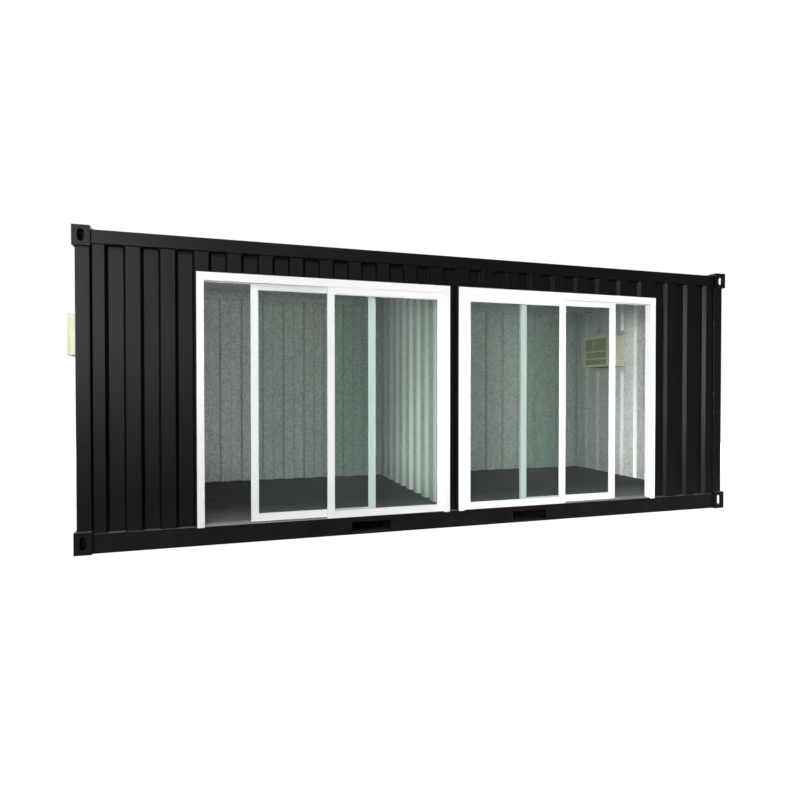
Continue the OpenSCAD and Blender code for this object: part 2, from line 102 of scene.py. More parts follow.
# %% Node helpers
class Wire:
    """One output of a node. Arithmetic with it adds Math nodes to the same tree."""

    def __init__(self, socket):
        self.socket = socket

    def __getitem__(self, name):
        return Wire(self.socket.node.outputs[name])

    def __add__(self, other):
        return math_node("ADD", self, other)

    def __sub__(self, other):
        return math_node("SUBTRACT", self, other)

    def __rsub__(self, other):
        return math_node("SUBTRACT", other, self)

    def __mul__(self, other):
        return math_node("MULTIPLY", self, other)

    def __truediv__(self, other):
        return math_node("DIVIDE", self, other)

    def __lt__(self, other):
        return math_node("LESS_THAN", self, other)

    def __gt__(self, other):
        return math_node("GREATER_THAN", self, other)


def put(socket, value):
    """Gives an input a plain value, or links it to a wire or to each wire of a list."""
    for wire in value if isinstance(value, list) else [value]:
        if isinstance(wire, Wire):
            socket.id_data.links.new(wire.socket, socket)
        else:
            socket.default_value = wire


def add(tree, kind, *values, **named):
    """One node as a wire. Names with a capital are inputs, in which an underscore stands for
    a space, and the others are settings."""
    families = (tree.bl_idname.replace("Tree", ""), "FunctionNode", "ShaderNode")
    node = tree.nodes.new(next(f + kind for f in families if hasattr(bpy.types, f + kind)))
    node.location = (200 * (len(tree.nodes) - 2), -40 * (len(tree.nodes) % 5))
    for name, value in named.items():
        if name[0].islower():
            setattr(node, name, value)
    for socket, value in zip(node.inputs, values):
        put(socket, value)
    for name, value in named.items():
        if name[0].isupper():
            put(node.inputs[name.replace("_", " ")], value)
    return Wire(node.outputs[0]) if node.outputs else None


def tree_of(*values):
    """The tree of the first wire among some values."""
    return next(value.socket.id_data for value in values if isinstance(value, Wire))


def math_node(operation, *values, clamp=False):
    """The result of one Math node."""
    return add(tree_of(*values), "Math", *values, operation=operation, use_clamp=clamp)


def larger(first, second):
    """The larger of two values."""
    return math_node("MAXIMUM", first, second)


def mix_colour(factor, low, high, blend="MIX"):
    """The result of a colour Mix node."""
    mix = add(tree_of(factor, low, high), "Mix", factor, data_type="RGBA", blend_type=blend)
    for place, value in ((6, low), (7, high)):
        put(mix.socket.node.inputs[place], value)
    return mix[2]


def ramp(value, low, high, floor=0.0, ceiling=1.0):
    """A value spread from low..high to floor..ceiling, and held there."""
    return add(tree_of(value), "MapRange", value, low, high, floor, ceiling)


def part_of(vector, axis):
    """One coordinate of a vector."""
    return add(tree_of(vector), "SeparateXYZ", vector)[axis]


def object_place(tree, scale=(1, 1, 1)):
    """Object coordinates, which stay with a piece when it moves."""
    place = add(tree, "TexCoord")["Object"]
    return add(tree, "Mapping", Vector=place, Scale=scale)


def noise(place, scale, detail=2.0, rough=0.5):
    """Plain noise between 0 and 1."""
    return add(
        tree_of(place), "TexNoise", Vector=place, Scale=scale, Detail=detail, Roughness=rough)


def socket_kind(value):
    """The kind of socket that a value needs. A word names the kind itself."""
    if isinstance(value, tuple):
        return "NodeSocketColor" if len(value) == 4 else "NodeSocketVector"
    return "NodeSocket" + (value if isinstance(value, str) else type(value).__name__.capitalize())


def shared_tree(name, kind, inputs, outputs):
    """An empty node group with named sockets, a wire from its inputs, and its end sockets."""
    tree = bpy.data.node_groups.new(name, kind)
    for way, sockets in (("OUTPUT", outputs), ("INPUT", inputs)):
        for label, value in sockets.items():
            socket = tree.interface.new_socket(label, in_out=way, socket_type=socket_kind(value))
            if not isinstance(value, str):
                socket.default_value = value
    given = Wire(tree.nodes.new("NodeGroupInput").outputs[0])
    return tree, given, tree.nodes.new("NodeGroupOutput").inputs


# %% [markdown]
# ## Shared surface effects
#
# Several finishes have the same faults: a colour that wanders a little, a sprayed skin like
# orange peel, paint worn thin along edges, dust on what faces up, and dirt splashed up from
# the ground. The dust group also holds a painted highlight along the ledge of the bottom rail.
# Each effect is one shader group that is built once, and each material gives it its own
# numbers. The groups put out only colours, masks and heights, and the shaders stay in the
# materials.

# %% Shared effects: wandering colour and orange peel
wander, given, result = shared_tree(
    "wandering colour", "ShaderNodeTree",
    {"Colour": (0.5, 0.5, 0.5, 1), "Scale": 3.0, "Amount": 0.1},
    {"Colour": "Color", "Shift": "Float"})
place = object_place(wander)
shift = noise(place, given["Scale"] * 9.0) * 0.35 + noise(place, given["Scale"], 3.0) * 0.65
gain = (shift - 0.5) * given["Amount"] * 4.0 + 1.0
tone = add(wander, "VectorMath", given["Colour"], Scale=gain, operation="SCALE")
put(result["Colour"], tone)
put(result["Shift"], shift)

peel, given, result = shared_tree(
    "orange peel", "ShaderNodeTree", {"Scale": 300.0, "Dents": 0.3}, {"Height": "Float"})
place = object_place(peel)
skin = noise(place, given["Scale"], 1.0) * 0.1
put(result["Height"], noise(place, 4.0, 1.0) * given["Dents"] + skin)

# %% Shared effects: worn edges, dust, splashed dirt and a painted ledge highlight
worn, given, result = shared_tree(
    "worn edges", "ShaderNodeTree", {"Edge": 0.0, "Scale": 25.0, "Amount": 0.5},
    {"Mask": "Float"})
chips = noise(object_place(worn), given["Scale"], 4.0, 0.65)
chipped = ramp(chips - (0.75 - given["Amount"] * 0.4), 0.0, 0.08)
put(result["Mask"], chipped * given["Edge"])

dust_and_ledge_highlight, given, result = shared_tree(
    "dust and splashes", "ShaderNodeTree",
    {"Dust": 0.3, "Splash": 0.3, "Splash Height": 0.5, "Ledge": 0.0}, {"Mask": "Float"})
place = object_place(dust_and_ledge_highlight)
faces_up = ramp(part_of(add(dust_and_ledge_highlight, "NewGeometry")["Normal"], 2), 0.5, 0.95)
above = part_of(place, 2)
near_ground = math_node("SUBTRACT", 1.0, above / given["Splash Height"], clamp=True)
both = faces_up * given["Dust"] + near_ground * given["Splash"]
both = both * ramp(noise(place, 6.0, 5.0, 0.6), 0.15, 0.85)
# Painted highlight: up-facing faces at the height of the bottom rail's ledge turn pale, for the
# light from above that the ledge catches.
at_ledge = ramp(above, 0.13, 0.145) * ramp(above, 0.22, 0.18)
painted_ledge_highlight = faces_up * at_ledge * given["Ledge"]
put(result["Mask"], math_node("ADD", both, painted_ledge_highlight, clamp=True))
print("shared effects:", [effect.name for effect in bpy.data.node_groups])


# %% [markdown]
# ## Black satin paint
#
# Outside, every piece of steel has the same sprayed coat: nearly black, with a satin sheen
# that lets the sky draw long soft gradients down each flat. A black that dark gets its light
# from its gloss, so its specular level matters more than its colour. Dust lies thin on what
# faces up, and the narrow ledge of the bottom rail is painted pale all along, a painted
# highlight for the light from above that it catches. The edge mask comes from an attribute that
# the rounding step further down writes on each piece's rounded edges.

# %% A material to start from
def material(name, roughness, specular=0.5, metallic=0.0):
    """A new material with the values that are constant, and its tree."""
    made = bpy.data.materials.new(name)
    made.use_nodes = True
    shader = made.node_tree.nodes["Principled BSDF"].inputs
    shader["Roughness"].default_value = roughness
    shader["Specular IOR Level"].default_value = specular
    shader["Metallic"].default_value = metallic
    return made, made.node_tree


def effect(tree, shared, **values):
    """A shared effect placed in a material."""
    return add(tree, "Group", node_tree=shared, **values)


def edge_wear(tree, scale, amount):
    """The mask of worn paint on the rounded edges that the pieces carry."""
    edge = add(tree, "Attribute", attribute_name="edge")["Fac"]
    return effect(tree, worn, Edge=edge, Scale=scale, Amount=amount)


def give(tree, colour, rough=None, height=None, distance=0.0):
    """Links a colour, a roughness and a bump height to the shader of a material."""
    shader = tree.nodes["Principled BSDF"].inputs
    put(shader["Base Color"], colour)
    if rough is not None:
        put(shader["Roughness"], rough)
    if height is not None:
        put(shader["Normal"], add(tree, "Bump", Height=height, Distance=distance))


# %% Black paint
black, tree = material("black paint", 0.34, specular=0.05)
base = effect(tree, wander, Colour=(0.0024, 0.0026, 0.0025, 1), Scale=1.7, Amount=0.1)
# This mask holds dust and the painted ledge highlight, and both take the pale colour below.
dust = effect(tree, dust_and_ledge_highlight, Dust=0.35, Splash=0.05, Splash_Height=0.4, Ledge=0.9)
rubbed = mix_colour(edge_wear(tree, 30.0, 0.35), base, (0.05, 0.052, 0.052, 1))
give(
    tree, mix_colour(dust, rubbed, (0.215, 0.216, 0.21, 1)),
    math_node("MULTIPLY_ADD", dust, 0.4, base["Shift"] * 0.12 + 0.28, clamp=True),
    effect(tree, peel, Scale=260.0, Dents=1.0), 0.0006)

# %% [markdown]
# ## Sprayed lining
#
# The inside of the sheet has a light grey coat that is sprayed on thick, to hold back
# condensation. It dries into small grains, so it looks speckled and has almost no gloss.
# Noise of about a centimetre gives the speckle, and the same noise raises the surface. The
# slopes of the sheet are painted paler and with less speckle, a painted highlight for the light
# from the front that they catch. Slopes are the places whose normals are far from all three
# axes. The painted highlight is strongest towards the doors and fades towards the back.

# %% Sprayed lining
lining, tree = material("sprayed lining", 0.78, specular=0.3)
place = object_place(tree)
speckle = noise(place, 62.0, 2.0, 0.7) * 0.7 + noise(place, 24.0, 2.0, 0.6) * 0.3
base = effect(tree, wander, Colour=(0.76, 0.80, 0.77, 1), Scale=1.3, Amount=0.04)
normal = add(tree, "NewGeometry")["True Normal"]
normal = add(tree, "VectorMath", normal, operation="ABSOLUTE")
steepest = larger(larger(part_of(normal, 0), part_of(normal, 1)), part_of(normal, 2))
# Painted highlight: slopes, strongest near the doors, get less speckle and a paler colour.
slope_highlight = ramp(steepest, 0.98, 0.90) * ramp(part_of(place, 1), 1.0, 0.1)
shade = larger(ramp(speckle, 0.36, 0.62), slope_highlight * 0.5)
shadowed = mix_colour(1.0, base, (0.6, 0.6, 0.6, 1), "MULTIPLY")
grained = mix_colour(shade, shadowed, base)
give(tree, mix_colour(slope_highlight, grained, (0.86, 0.89, 0.865, 1)), height=speckle, distance=0.004)

# %% [markdown]
# ## Door paint, casing paint and panel plastic
#
# The door frames and leaves are extrusions with a smooth white coat. The air conditioners have
# a cream case, painted paler where it stands outside the end walls as a painted highlight for
# the brighter light outdoors, and panels of moulded plastic in the same cream. Their vanes get a
# darker olive copy of that cream, painted shade for vanes that lie in shadow. All use the
# shared groups with weak settings, because a factory finish is even, and what shows is a little
# grime in the low places and along the edges.

# %% White, cream and panel finishes
END_WALL_INSIDE, END_WALL_OUTSIDE = 2.87, 2.90


def smooth_coat(name, colour, grime, roughness, scale, dust, specular=0.5, outdoor_highlight=None):
    """A factory coat with faint grime, which can be painted paler outside the end walls as outdoor
    light.
    """
    made, tree = material(name, roughness, specular)
    tone = (*colour, 1)
    grime = (*grime, 1)
    # Painted highlight: the case is paler outside the end walls, for the brighter light outdoors.
    if outdoor_highlight:
        along = math_node("ABSOLUTE", part_of(object_place(tree), 0))
        outside = ramp(along, END_WALL_INSIDE, END_WALL_OUTSIDE)
        tone = mix_colour(outside, tone, (*outdoor_highlight, 1))
    base = effect(tree, wander, Colour=tone, Scale=scale, Amount=0.012)
    dirt = effect(tree, dust_and_ledge_highlight, Dust=dust, Splash=dust * 0.6, Splash_Height=0.9)
    rubbed = mix_colour(edge_wear(tree, 40.0, 0.25) * 0.4, base, grime)
    give(
        tree, mix_colour(dirt, rubbed, grime), base["Shift"] * 0.12 + (roughness - 0.06),
        effect(tree, peel, Scale=420.0, Dents=0.1), 0.0003)
    return made


white = smooth_coat("white door coat", (0.94, 0.945, 0.94), (0.6, 0.59, 0.55), 0.32, 2.0, 0.08)
cream = smooth_coat(
    "cream casing paint", (0.62, 0.625, 0.475), (0.42, 0.39, 0.28), 0.5, 5.0, 0.3, 0.35,
    outdoor_highlight=(0.83, 0.83, 0.60))
panel = smooth_coat(
    "cream panel plastic", (0.70, 0.70, 0.52), (0.36, 0.34, 0.24), 0.5, 6.0, 0.35, 0.2)
# Painted shade: the vanes get a darker olive copy of the panel cream, for the shadow they lie in.
vane = smooth_coat(
    "olive vane plastic", (0.46, 0.46, 0.31), (0.2, 0.19, 0.13), 0.5, 6.0, 0.35, 0.2)
plate = smooth_coat("brown control plate", (0.33, 0.285, 0.23), (0.15, 0.13, 0.11), 0.4, 8.0, 0.2)

# %% [markdown]
# ## Floor, bare metal, rubber and glass
#
# The floor is plywood painted dark grey: grain that runs along each board lifts the paint a
# little, and feet have scuffed it. Just inside the doors it is painted paler, a painted pool of
# the daylight that comes in there. The sills are drawn aluminium with fine lines along their
# length. Seals are dull black rubber. The glass is tinted green and clear: rays that carry light
# pass straight through, so that the rooms aren't dark behind it. The coil and the filter of an
# air conditioner have a metal and a mesh of their own.

# %% Painted plywood
deck, tree = material("painted plywood", 0.5, specular=0.12)
base = effect(tree, wander, Colour=(0.021, 0.023, 0.022, 1), Scale=2.3, Amount=0.2)
grain = noise(object_place(tree, (3, 60, 60)), 1.6, 4.0, 0.6)
scuffs = noise(object_place(tree, (2, 9, 1)), 2.2, 5.0, 0.7)
mark = larger(edge_wear(tree, 35.0, 0.6), ramp(scuffs, 0.56, 0.74) * 0.4)
# Painted light: a paler strip just inside the doors, for the daylight that falls in there.
painted_door_light = ramp(scuffs * -0.5 + part_of(object_place(tree), 1), -0.75, -1.5)
marked = mix_colour(mark, base, (0.095, 0.092, 0.085, 1))
give(
    tree, mix_colour(painted_door_light, marked, (0.22, 0.218, 0.21, 1)),
    math_node("MULTIPLY_ADD", scuffs, 0.35, 0.32, clamp=True), grain, 0.0008)

# %% Drawn aluminium, screws, rubber, coil and filter
drawn, tree = material("drawn aluminium", 0.35, metallic=0.85)
base = effect(tree, wander, Colour=(0.26, 0.27, 0.27, 1), Scale=4.0, Amount=0.06)
lines = noise(object_place(tree, (1, 90, 90)), 8.0, 3.0)
give(tree, base, lines * 0.3 + 0.22, lines, 0.0002)

zinc, tree = material("zinc screw", 0.4, metallic=0.8)
base = effect(tree, wander, Colour=(0.36, 0.36, 0.35, 1), Scale=30.0, Amount=0.15)
give(tree, base, base["Shift"] * 0.3 + 0.28, effect(tree, peel, Scale=900.0, Dents=0.0), 0.0001)

rubber, tree = material("black rubber", 0.7, specular=0.3)
base = effect(tree, wander, Colour=(0.03, 0.031, 0.031, 1), Scale=12.0, Amount=0.12)
give(tree, base, height=effect(tree, peel, Scale=700.0, Dents=0.2), distance=0.0002)

mesh_filter, tree = material("filter mesh", 0.85, specular=0.2)
base = effect(tree, wander, Colour=(0.16, 0.16, 0.105, 1), Scale=9.0, Amount=0.12)
weave = noise(object_place(tree), 420.0, 1.0)
give(tree, mix_colour(ramp(weave, 0.42, 0.58), base, (0.05, 0.05, 0.035, 1)), None, weave, 0.0004)

fin_metal, tree = material("coil fins", 0.45, metallic=0.7)
base = effect(tree, wander, Colour=(0.30, 0.31, 0.31, 1), Scale=14.0, Amount=0.15)
dust = effect(tree, dust_and_ledge_highlight, Dust=0.5, Splash=0.0, Splash_Height=0.5)
give(
    tree, mix_colour(dust, base, (0.2, 0.19, 0.16, 1)), None,
    effect(tree, peel, Scale=600.0, Dents=0.4), 0.0002)

# %% Green glass
glass, tree = material("green glass", 0.0)
shader = tree.nodes["Principled BSDF"]
shader.inputs["Transmission Weight"].default_value = 1.0
shader.inputs["IOR"].default_value = 1.21
give(tree, effect(tree, wander, Colour=(0.772, 0.838, 0.804, 1), Scale=0.8, Amount=0.01))
rays = add(tree, "LightPath")
clear = add(tree, "BsdfTransparent", (0.88, 0.925, 0.905, 1))
choice = add(
    tree, "MixShader", larger(rays["Is Shadow Ray"], rays["Is Diffuse Ray"]),
    Wire(shader.outputs[0]), clear)
put(tree.nodes["Material Output"].inputs["Surface"], choice)
print("materials:", [made.name for made in bpy.data.materials])

# %% [markdown]
# ## Rounded edges
#
# The CAD pieces have perfectly sharp edges, which catch no light. A rail is folded plate and a
# casting is poured steel, so both have rounded edges that draw a thin bright line. A live
# bevel can't work on the CAD mesh, because its triangles are loose. So each node is copied,
# its points are merged, its flat areas become whole faces, and only its sharp edges are cut.
# The new faces carry the value 1 in the attribute `edge`, for the worn paint.

# %% Rounding a copy of a CAD node
slots = {part["node"]: part["material_slot"] for part in frame["record"]["subparts"]}
bodies = frame["record"]["behaviour"]["bodies"]
body_of = {node: body for body, nodes in bodies.items() for node in nodes}


def merged_copy(node):
    """A CAD node as a clean bmesh: points merged and flat areas joined."""
    shape = bmesh.new()
    shape.from_mesh(frame["nodes"][node].data)
    bmesh.ops.remove_doubles(shape, verts=shape.verts, dist=1e-5)
    bmesh.ops.dissolve_limit(
        shape, angle_limit=math.radians(0.5), verts=shape.verts, edges=shape.edges)
    return shape


def sharp_edges(shape, low=30.0, high=181.0):
    """Edges where two faces meet at an angle between low and high degrees."""
    angles = ((e, e.calc_face_angle()) for e in shape.edges if len(e.link_faces) == 2)
    return [e for e, angle in angles if math.radians(low) < angle < math.radians(high)]


def lengthwise(shape, axis, shortest):
    """Sharp edges that run along one axis."""
    found = []
    for edge in sharp_edges(shape):
        run = edge.verts[1].co - edge.verts[0].co
        if run.length > shortest and abs(run.normalized()[axis]) > 0.999:
            found.append(edge)
    return found


def rounded(shape, edges, width, steps=2, clamp=True):
    """Cuts edges round and marks the new faces."""
    mark = shape.loops.layers.float.get("edge") or shape.loops.layers.float.new("edge")
    cut = bmesh.ops.bevel(
        shape, geom=edges, offset=width, segments=steps, profile=0.5, affect="EDGES",
        clamp_overlap=clamp)
    for face in cut["faces"]:
        for corner in face.loops:
            corner[mark] = 1.0


def coat(shape, rule):
    """Gives the second material to the faces whose centre and normal meet a rule."""
    for face in shape.faces:
        face.material_index = int(bool(rule(face.calc_center_median(), face.normal)))


SMOOTH = math.radians(50)


def piece_from(shape, name, materials, body, replaces=(), turn_out=False):
    """Turns a bmesh into a finished piece with smooth edges, which rides on a body."""
    if turn_out:
        bmesh.ops.recalc_face_normals(shape, faces=shape.faces)
    for edge in shape.edges:
        edge.smooth = len(edge.link_faces) == 2 and edge.calc_face_angle() < SMOOTH
    for face in shape.faces:
        face.smooth = True
    mesh = bpy.data.meshes.new(name)
    shape.to_mesh(mesh)
    shape.free()
    for made in materials:
        mesh.materials.append(made)
    piece = bpy.data.objects.new(name, mesh)
    bpy.context.scene.collection.objects.link(piece)
    piece.modifiers.new("even normals", "WEIGHTED_NORMAL").keep_sharp = True
    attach(piece, body)
    if replaces:
        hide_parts(*replaces)


def stand_in(shape, node, materials, name=None):
    """A piece that takes a CAD node's place, on the same body."""
    name = name or node.replace("_", "-")
    piece_from(shape, name, materials, body_of[node], (node,))
    print(name, "replaces", node)


def dressed(node, width, materials, rule=None, steps=2, name=None):
    """A rounded copy of a CAD node."""
    shape = merged_copy(node)
    rounded(shape, sharp_edges(shape), width, steps)
    if rule:
        coat(shape, rule)
    stand_in(shape, node, materials, name)


# %% Finishes by slot
finishes = {
    "black_steel": black, "grey_steel": lining, "floor_board": deck, "white_frame": white,
    "sill_metal": drawn, "green_glass": glass, "cream_casing": cream, "cream_panel": panel}
for node, obj in frame["nodes"].items():
    obj.data.materials.clear()
    obj.data.materials.append(finishes[slots[node]])
print(len(slots), "nodes have a finish")

# %% [markdown]
# ## Steel frame
#
# Rails and posts are folded plate, so only the edges along their length are round. Castings are
# poured, so every edge is round and the rims of the holes are eased as well. The same coat of
# lining that covers the inner side of the sheet covers every steel face that looks into a room.
# The waves of the walls and the roof decide which these are, so the top rails are cut along
# both waves before they are painted.

# %% Sizes that the waves follow
FLAT, SLOPE, DEPTH, SHEET = 0.103, 0.020, 0.036, 0.002
PITCH = 2 * (FLAT + SLOPE)
ROOF_FLAT, ROOF_SLOPE, ROOF_DEPTH = 0.120, 0.016, 0.020
ROOF_PITCH = 2 * (ROOF_FLAT + ROOF_SLOPE)
ROOM = Vector((2.892, 1.152, 2.413))
FLOOR_TOP, RAIL_TOP, NEAR_RAIL = 0.16, 2.40, 2.0
POST_LINE, TO_FIRST_SLOPE = 2.893, 0.214
WAVES_END, HALF_WAVES, ROOF_HALF_WAVES = 2.85, 48, 43
first_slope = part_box("castings_bottom")[0].x + TO_FIRST_SLOPE
door_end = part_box("front_header")[1].x
roof_first = 0.060 - 11 * ROOF_PITCH
roof_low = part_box("roof")[0].z + SHEET


# %% Which faces look into a room
def faces_room(centre, normal):
    """True on steel in the lined space, apart from the upper edge of a rail by the roof."""
    inside = abs(centre.x) < ROOM.x and abs(centre.y) < ROOM.y
    inside = inside and FLOOR_TOP < centre.z < ROOM.z
    return inside and (centre.z < RAIL_TOP or normal.z < 0.6)


def roof_stands_high(x):
    """True where the wave of the roof is at its upper flat."""
    return (x - roof_first - ROOF_SLOPE / 2) % ROOF_PITCH < ROOF_PITCH / 2


def stands_out(x, y):
    """True where the sheet at a rail is at its outer flat, so that a room reaches under it."""
    from_left = x if y < 0 and x < door_end else -x
    return (from_left - first_slope - SLOPE / 2) % PITCH > PITCH / 2


def lined_steel(centre, normal):
    """True on steel inside, as far as the waves of the wall and the roof leave it inside."""
    if centre.z > roof_low:
        return faces_room(centre, normal) and roof_stands_high(centre.x)
    over_wall = ROOM.y < abs(centre.y) < ROOM.y + DEPTH and centre.z > NEAR_RAIL
    under_rail = over_wall and normal.z < -0.9 and stands_out(centre.x, centre.y)
    return faces_room(centre, normal) or under_rail


def cut_flat(shape, axis, places):
    """Cuts faces across an axis at some places, without a change to the form."""
    direction = Matrix.Identity(3)[axis]
    for place in places:
        bmesh.ops.bisect_plane(
            shape, geom=shape.verts[:] + shape.edges[:] + shape.faces[:],
            plane_co=direction * place, plane_no=direction)


def cut_along_waves(shape, side):
    """Cuts a top rail wherever the wall's wave or the roof's wave changes flats."""
    cut_flat(shape, 1, [side * ROOM.y, side * (ROOM.y + DEPTH - SHEET)])
    for half_wave in range(HALF_WAVES):
        x = first_slope + SLOPE / 2 + half_wave * PITCH / 2
        past_doors = side < 0 and x > door_end
        if abs(x) < WAVES_END and not past_doors:
            cut_flat(shape, 0, [x if side < 0 else -x])
        if side < 0 and -x > door_end:
            cut_flat(shape, 0, [-x])
    cut_flat(shape, 2, [roof_low])
    roof_bends = [roof_first + step * ROOF_PITCH / 2 for step in range(1, ROOF_HALF_WAVES)]
    cut_flat(shape, 0, [bend + ROOF_SLOPE / 2 for bend in roof_bends])


# %% Rails and posts
steel = (black, lining)
folded = [
    ("bottom_rail_front", 0, 0.008), ("bottom_rail_back", 0, 0.008),
    ("bottom_end_rails", 1, 0.006), ("top_rail_front", 0, 0.007), ("top_rail_back", 0, 0.007),
    ("top_end_rails", 1, 0.006), ("corner_posts", 2, 0.009), ("centre_post", 2, 0.004),
    ("cross_members", 1, 0.004), ("fork_pockets", 1, 0.003),
]
for node, axis, radius in folded:
    shape = merged_copy(node)
    if node == "corner_posts":
        cut_flat(shape, 0, (-POST_LINE, POST_LINE))
    rounded(shape, lengthwise(shape, axis, 0.1), radius, 3)
    if node.startswith("top_rail"):
        cut_along_waves(shape, math.copysign(1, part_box(node)[0].y))
    coat(shape, lined_steel)
    stand_in(shape, node, steel)

# %% Corner castings
RIM_EDGE, BODY_EDGE = 0.08, 0.1
for node in ("castings_bottom", "castings_top"):
    shape = merged_copy(node)
    rims = [e for e in sharp_edges(shape) if e.calc_length() < RIM_EDGE]
    rounded(shape, rims, 0.0022, 2, clamp=False)
    rounded(shape, [e for e in sharp_edges(shape, 60) if e.calc_length() > BODY_EDGE], 0.007, 3)
    stand_in(shape, node, steel)

# %% [markdown]
# ## Pressed sheet with Geometry Nodes
#
# The walls and the roof are sheet pressed into flats and slopes. The shape follows a rule, so a
# node tree makes it: a line of points is moved to the bends of the wave, the corners between
# them are filleted to the bend radius of the press, and the line is drawn up to the height of
# the wall and given the thickness of the sheet. Points beyond the wanted ends are held at the
# ends, so one rule makes a whole side, the short header, and the strip between the doors.
# Its outer side is painted black and its inner side is lined.

# %% Geometry Nodes helpers
def shape_tree(name, inputs):
    """A Geometry Nodes tree with named inputs, a wire from them and its end socket."""
    tree, given, result = shared_tree(
        name, "GeometryNodeTree", {"Path": "Geometry", **inputs}, {"Shape": "Geometry"})
    return tree, given, result["Shape"]


def grown(tree, path=None, **values):
    """Runs a tree once and gives its result as a bmesh. An underscore stands for a space."""
    values = {name.replace("_", " "): value for name, value in values.items()}
    carrier = bpy.data.objects.new("carrier", path or bpy.data.meshes.new("carrier"))
    bpy.context.scene.collection.objects.link(carrier)
    modifier = carrier.modifiers.new("shape", "NODES")
    modifier.node_group = tree
    for item in tree.interface.items_tree:
        if item.in_out == "INPUT" and item.name in values:
            modifier[item.identifier] = values[item.name]
    ready = carrier.evaluated_get(bpy.context.evaluated_depsgraph_get())
    shape = bmesh.new()
    shape.from_mesh(bpy.data.meshes.new_from_object(ready))
    bpy.data.objects.remove(carrier)
    return shape


def along_z(tree, height):
    """A vector that points up."""
    return add(tree, "CombineXYZ", 0.0, 0.0, height)


def raised(shape, height):
    """A shape moved up."""
    tree = tree_of(shape)
    return add(tree, "SetPosition", Geometry=shape, Offset=along_z(tree, height))


def merged(shape, distance):
    """A shape with its close points merged."""
    return add(tree_of(shape), "MergeByDistance", Geometry=shape, Distance=distance)


def painted(shape, finish):
    """A shape with one material."""
    return add(tree_of(shape), "SetMaterial", Geometry=shape, Material=finish)


def made_real(shape):
    """Instances turned into mesh."""
    return add(tree_of(shape), "RealizeInstances", shape)


def filleted(curve, radius, count, limit=True):
    """A curve with its corners rounded into straight steps."""
    return add(
        tree_of(curve), "FilletCurve", Curve=curve, Radius=radius, Count=count,
        Limit_Radius=limit, mode="POLY")


# %% Geometry Nodes: the line of a pressed wave
WAVE = {
    "Start": 0.0, "End": 1.0, "Waves": 24, "Flat": FLAT, "Slope": SLOPE, "Depth": DEPTH,
    "Bend Radius": 0.0022, "First Flat": -10.0, "Turn": 0.006, "Last Flat": 100.0}
FAR = 100.0
wave_line, given, ending = shape_tree("wave line", WAVE)
line = add(wave_line, "MeshLine", Count=given["Waves"] * 4.0 + 3.0, Offset=(0, 0, 0))
index = add(wave_line, "InputIndex") - 3.0
wave = math_node("FLOOR", index / 4.0)
corner = index - wave * 4.0
past = [corner > limit for limit in (0.5, 1.5, 2.5)]
pitch = (given["Flat"] + given["Slope"]) * 2.0
slopes = (past[0] + past[2]) * given["Slope"]
along = wave * pitch + (past[1] * given["Flat"] + slopes)
lead = given["First Flat"] - ((index < -2.5) * FAR + (index < -1.5) * given["Turn"])
along = (lead - along) * (index < -0.5) + along
along = larger(math_node("MINIMUM", along, given["End"]), given["Start"])
within = math_node("FLOOR", along / pitch) * (pitch * -1.0) + along
falling = given["Slope"] * 2.0 + given["Flat"] - within
rise = math_node("DIVIDE", math_node("MINIMUM", within, falling), given["Slope"], clamp=True)
turned = math_node("DIVIDE", given["First Flat"] - along, given["Turn"], clamp=True)
depth = larger(rise, turned) * given["Depth"] * (along < given["Last Flat"])
spot = add(wave_line, "CombineXYZ", along, depth)
moved = add(wave_line, "SetPosition", Geometry=line, Position=spot)
curve = add(wave_line, "MeshToCurve", Mesh=merged(moved, 0.0004))
put(ending, filleted(curve, given["Bend Radius"], 4))


def wave_in(tree, given):
    """The wave line placed in another tree, with the same inputs."""
    return add(tree, "Group", node_tree=wave_line, **{label: given[label] for label in WAVE})


# %% Geometry Nodes: pressed sheet
pressed, given, ending = shape_tree(
    "pressed sheet",
    {
        **WAVE, "Base": 0.0, "Height": 2.0, "Sheet": SHEET, "Cut Centre": (0, 0, -9),
        "Cut Size": (0.1, 0.1, 0.1), "Outside": "Material", "Inside": "Material"})
edge = add(pressed, "CurveToMesh", Curve=wave_in(pressed, given))
wall = add(
    pressed, "ExtrudeMesh", Mesh=raised(edge, given["Base"]), Offset=along_z(pressed, 1.0),
    Offset_Scale=given["Height"], mode="EDGES")
wrong = part_of(add(pressed, "InputNormal"), 1) < 0.0
wall = add(pressed, "FlipFaces", Mesh=wall, Selection=wrong)
inner = add(
    pressed, "ExtrudeMesh", Mesh=wall, Offset_Scale=given["Sheet"], Individual=False,
    mode="FACES")
outer = add(pressed, "FlipFaces", Mesh=wall)
both = [painted(outer, given["Outside"]), painted(inner, given["Inside"])]
sheet = merged(add(pressed, "JoinGeometry", both), 0.0002)
hole = add(pressed, "MeshCube", Size=given["Cut Size"])
hole = add(pressed, "Transform", Geometry=hole, Translation=given["Cut Centre"])
cut = add(
    pressed, "MeshBoolean", Mesh_1=sheet, Mesh_2=painted(hole, given["Inside"]),
    operation="DIFFERENCE", solver="EXACT")
put(ending, made_real(cut))

# %% Pressed sheet in place of CAD nodes
wall_low, wall_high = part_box("front_wall_left")
outer_flat = wall_low.y
front_place = Matrix.Translation((first_slope, outer_flat, 0))
about = Matrix.Rotation(math.pi, 4, "Z")
flip_x = Matrix.Scale(-1, 4, (1, 0, 0))


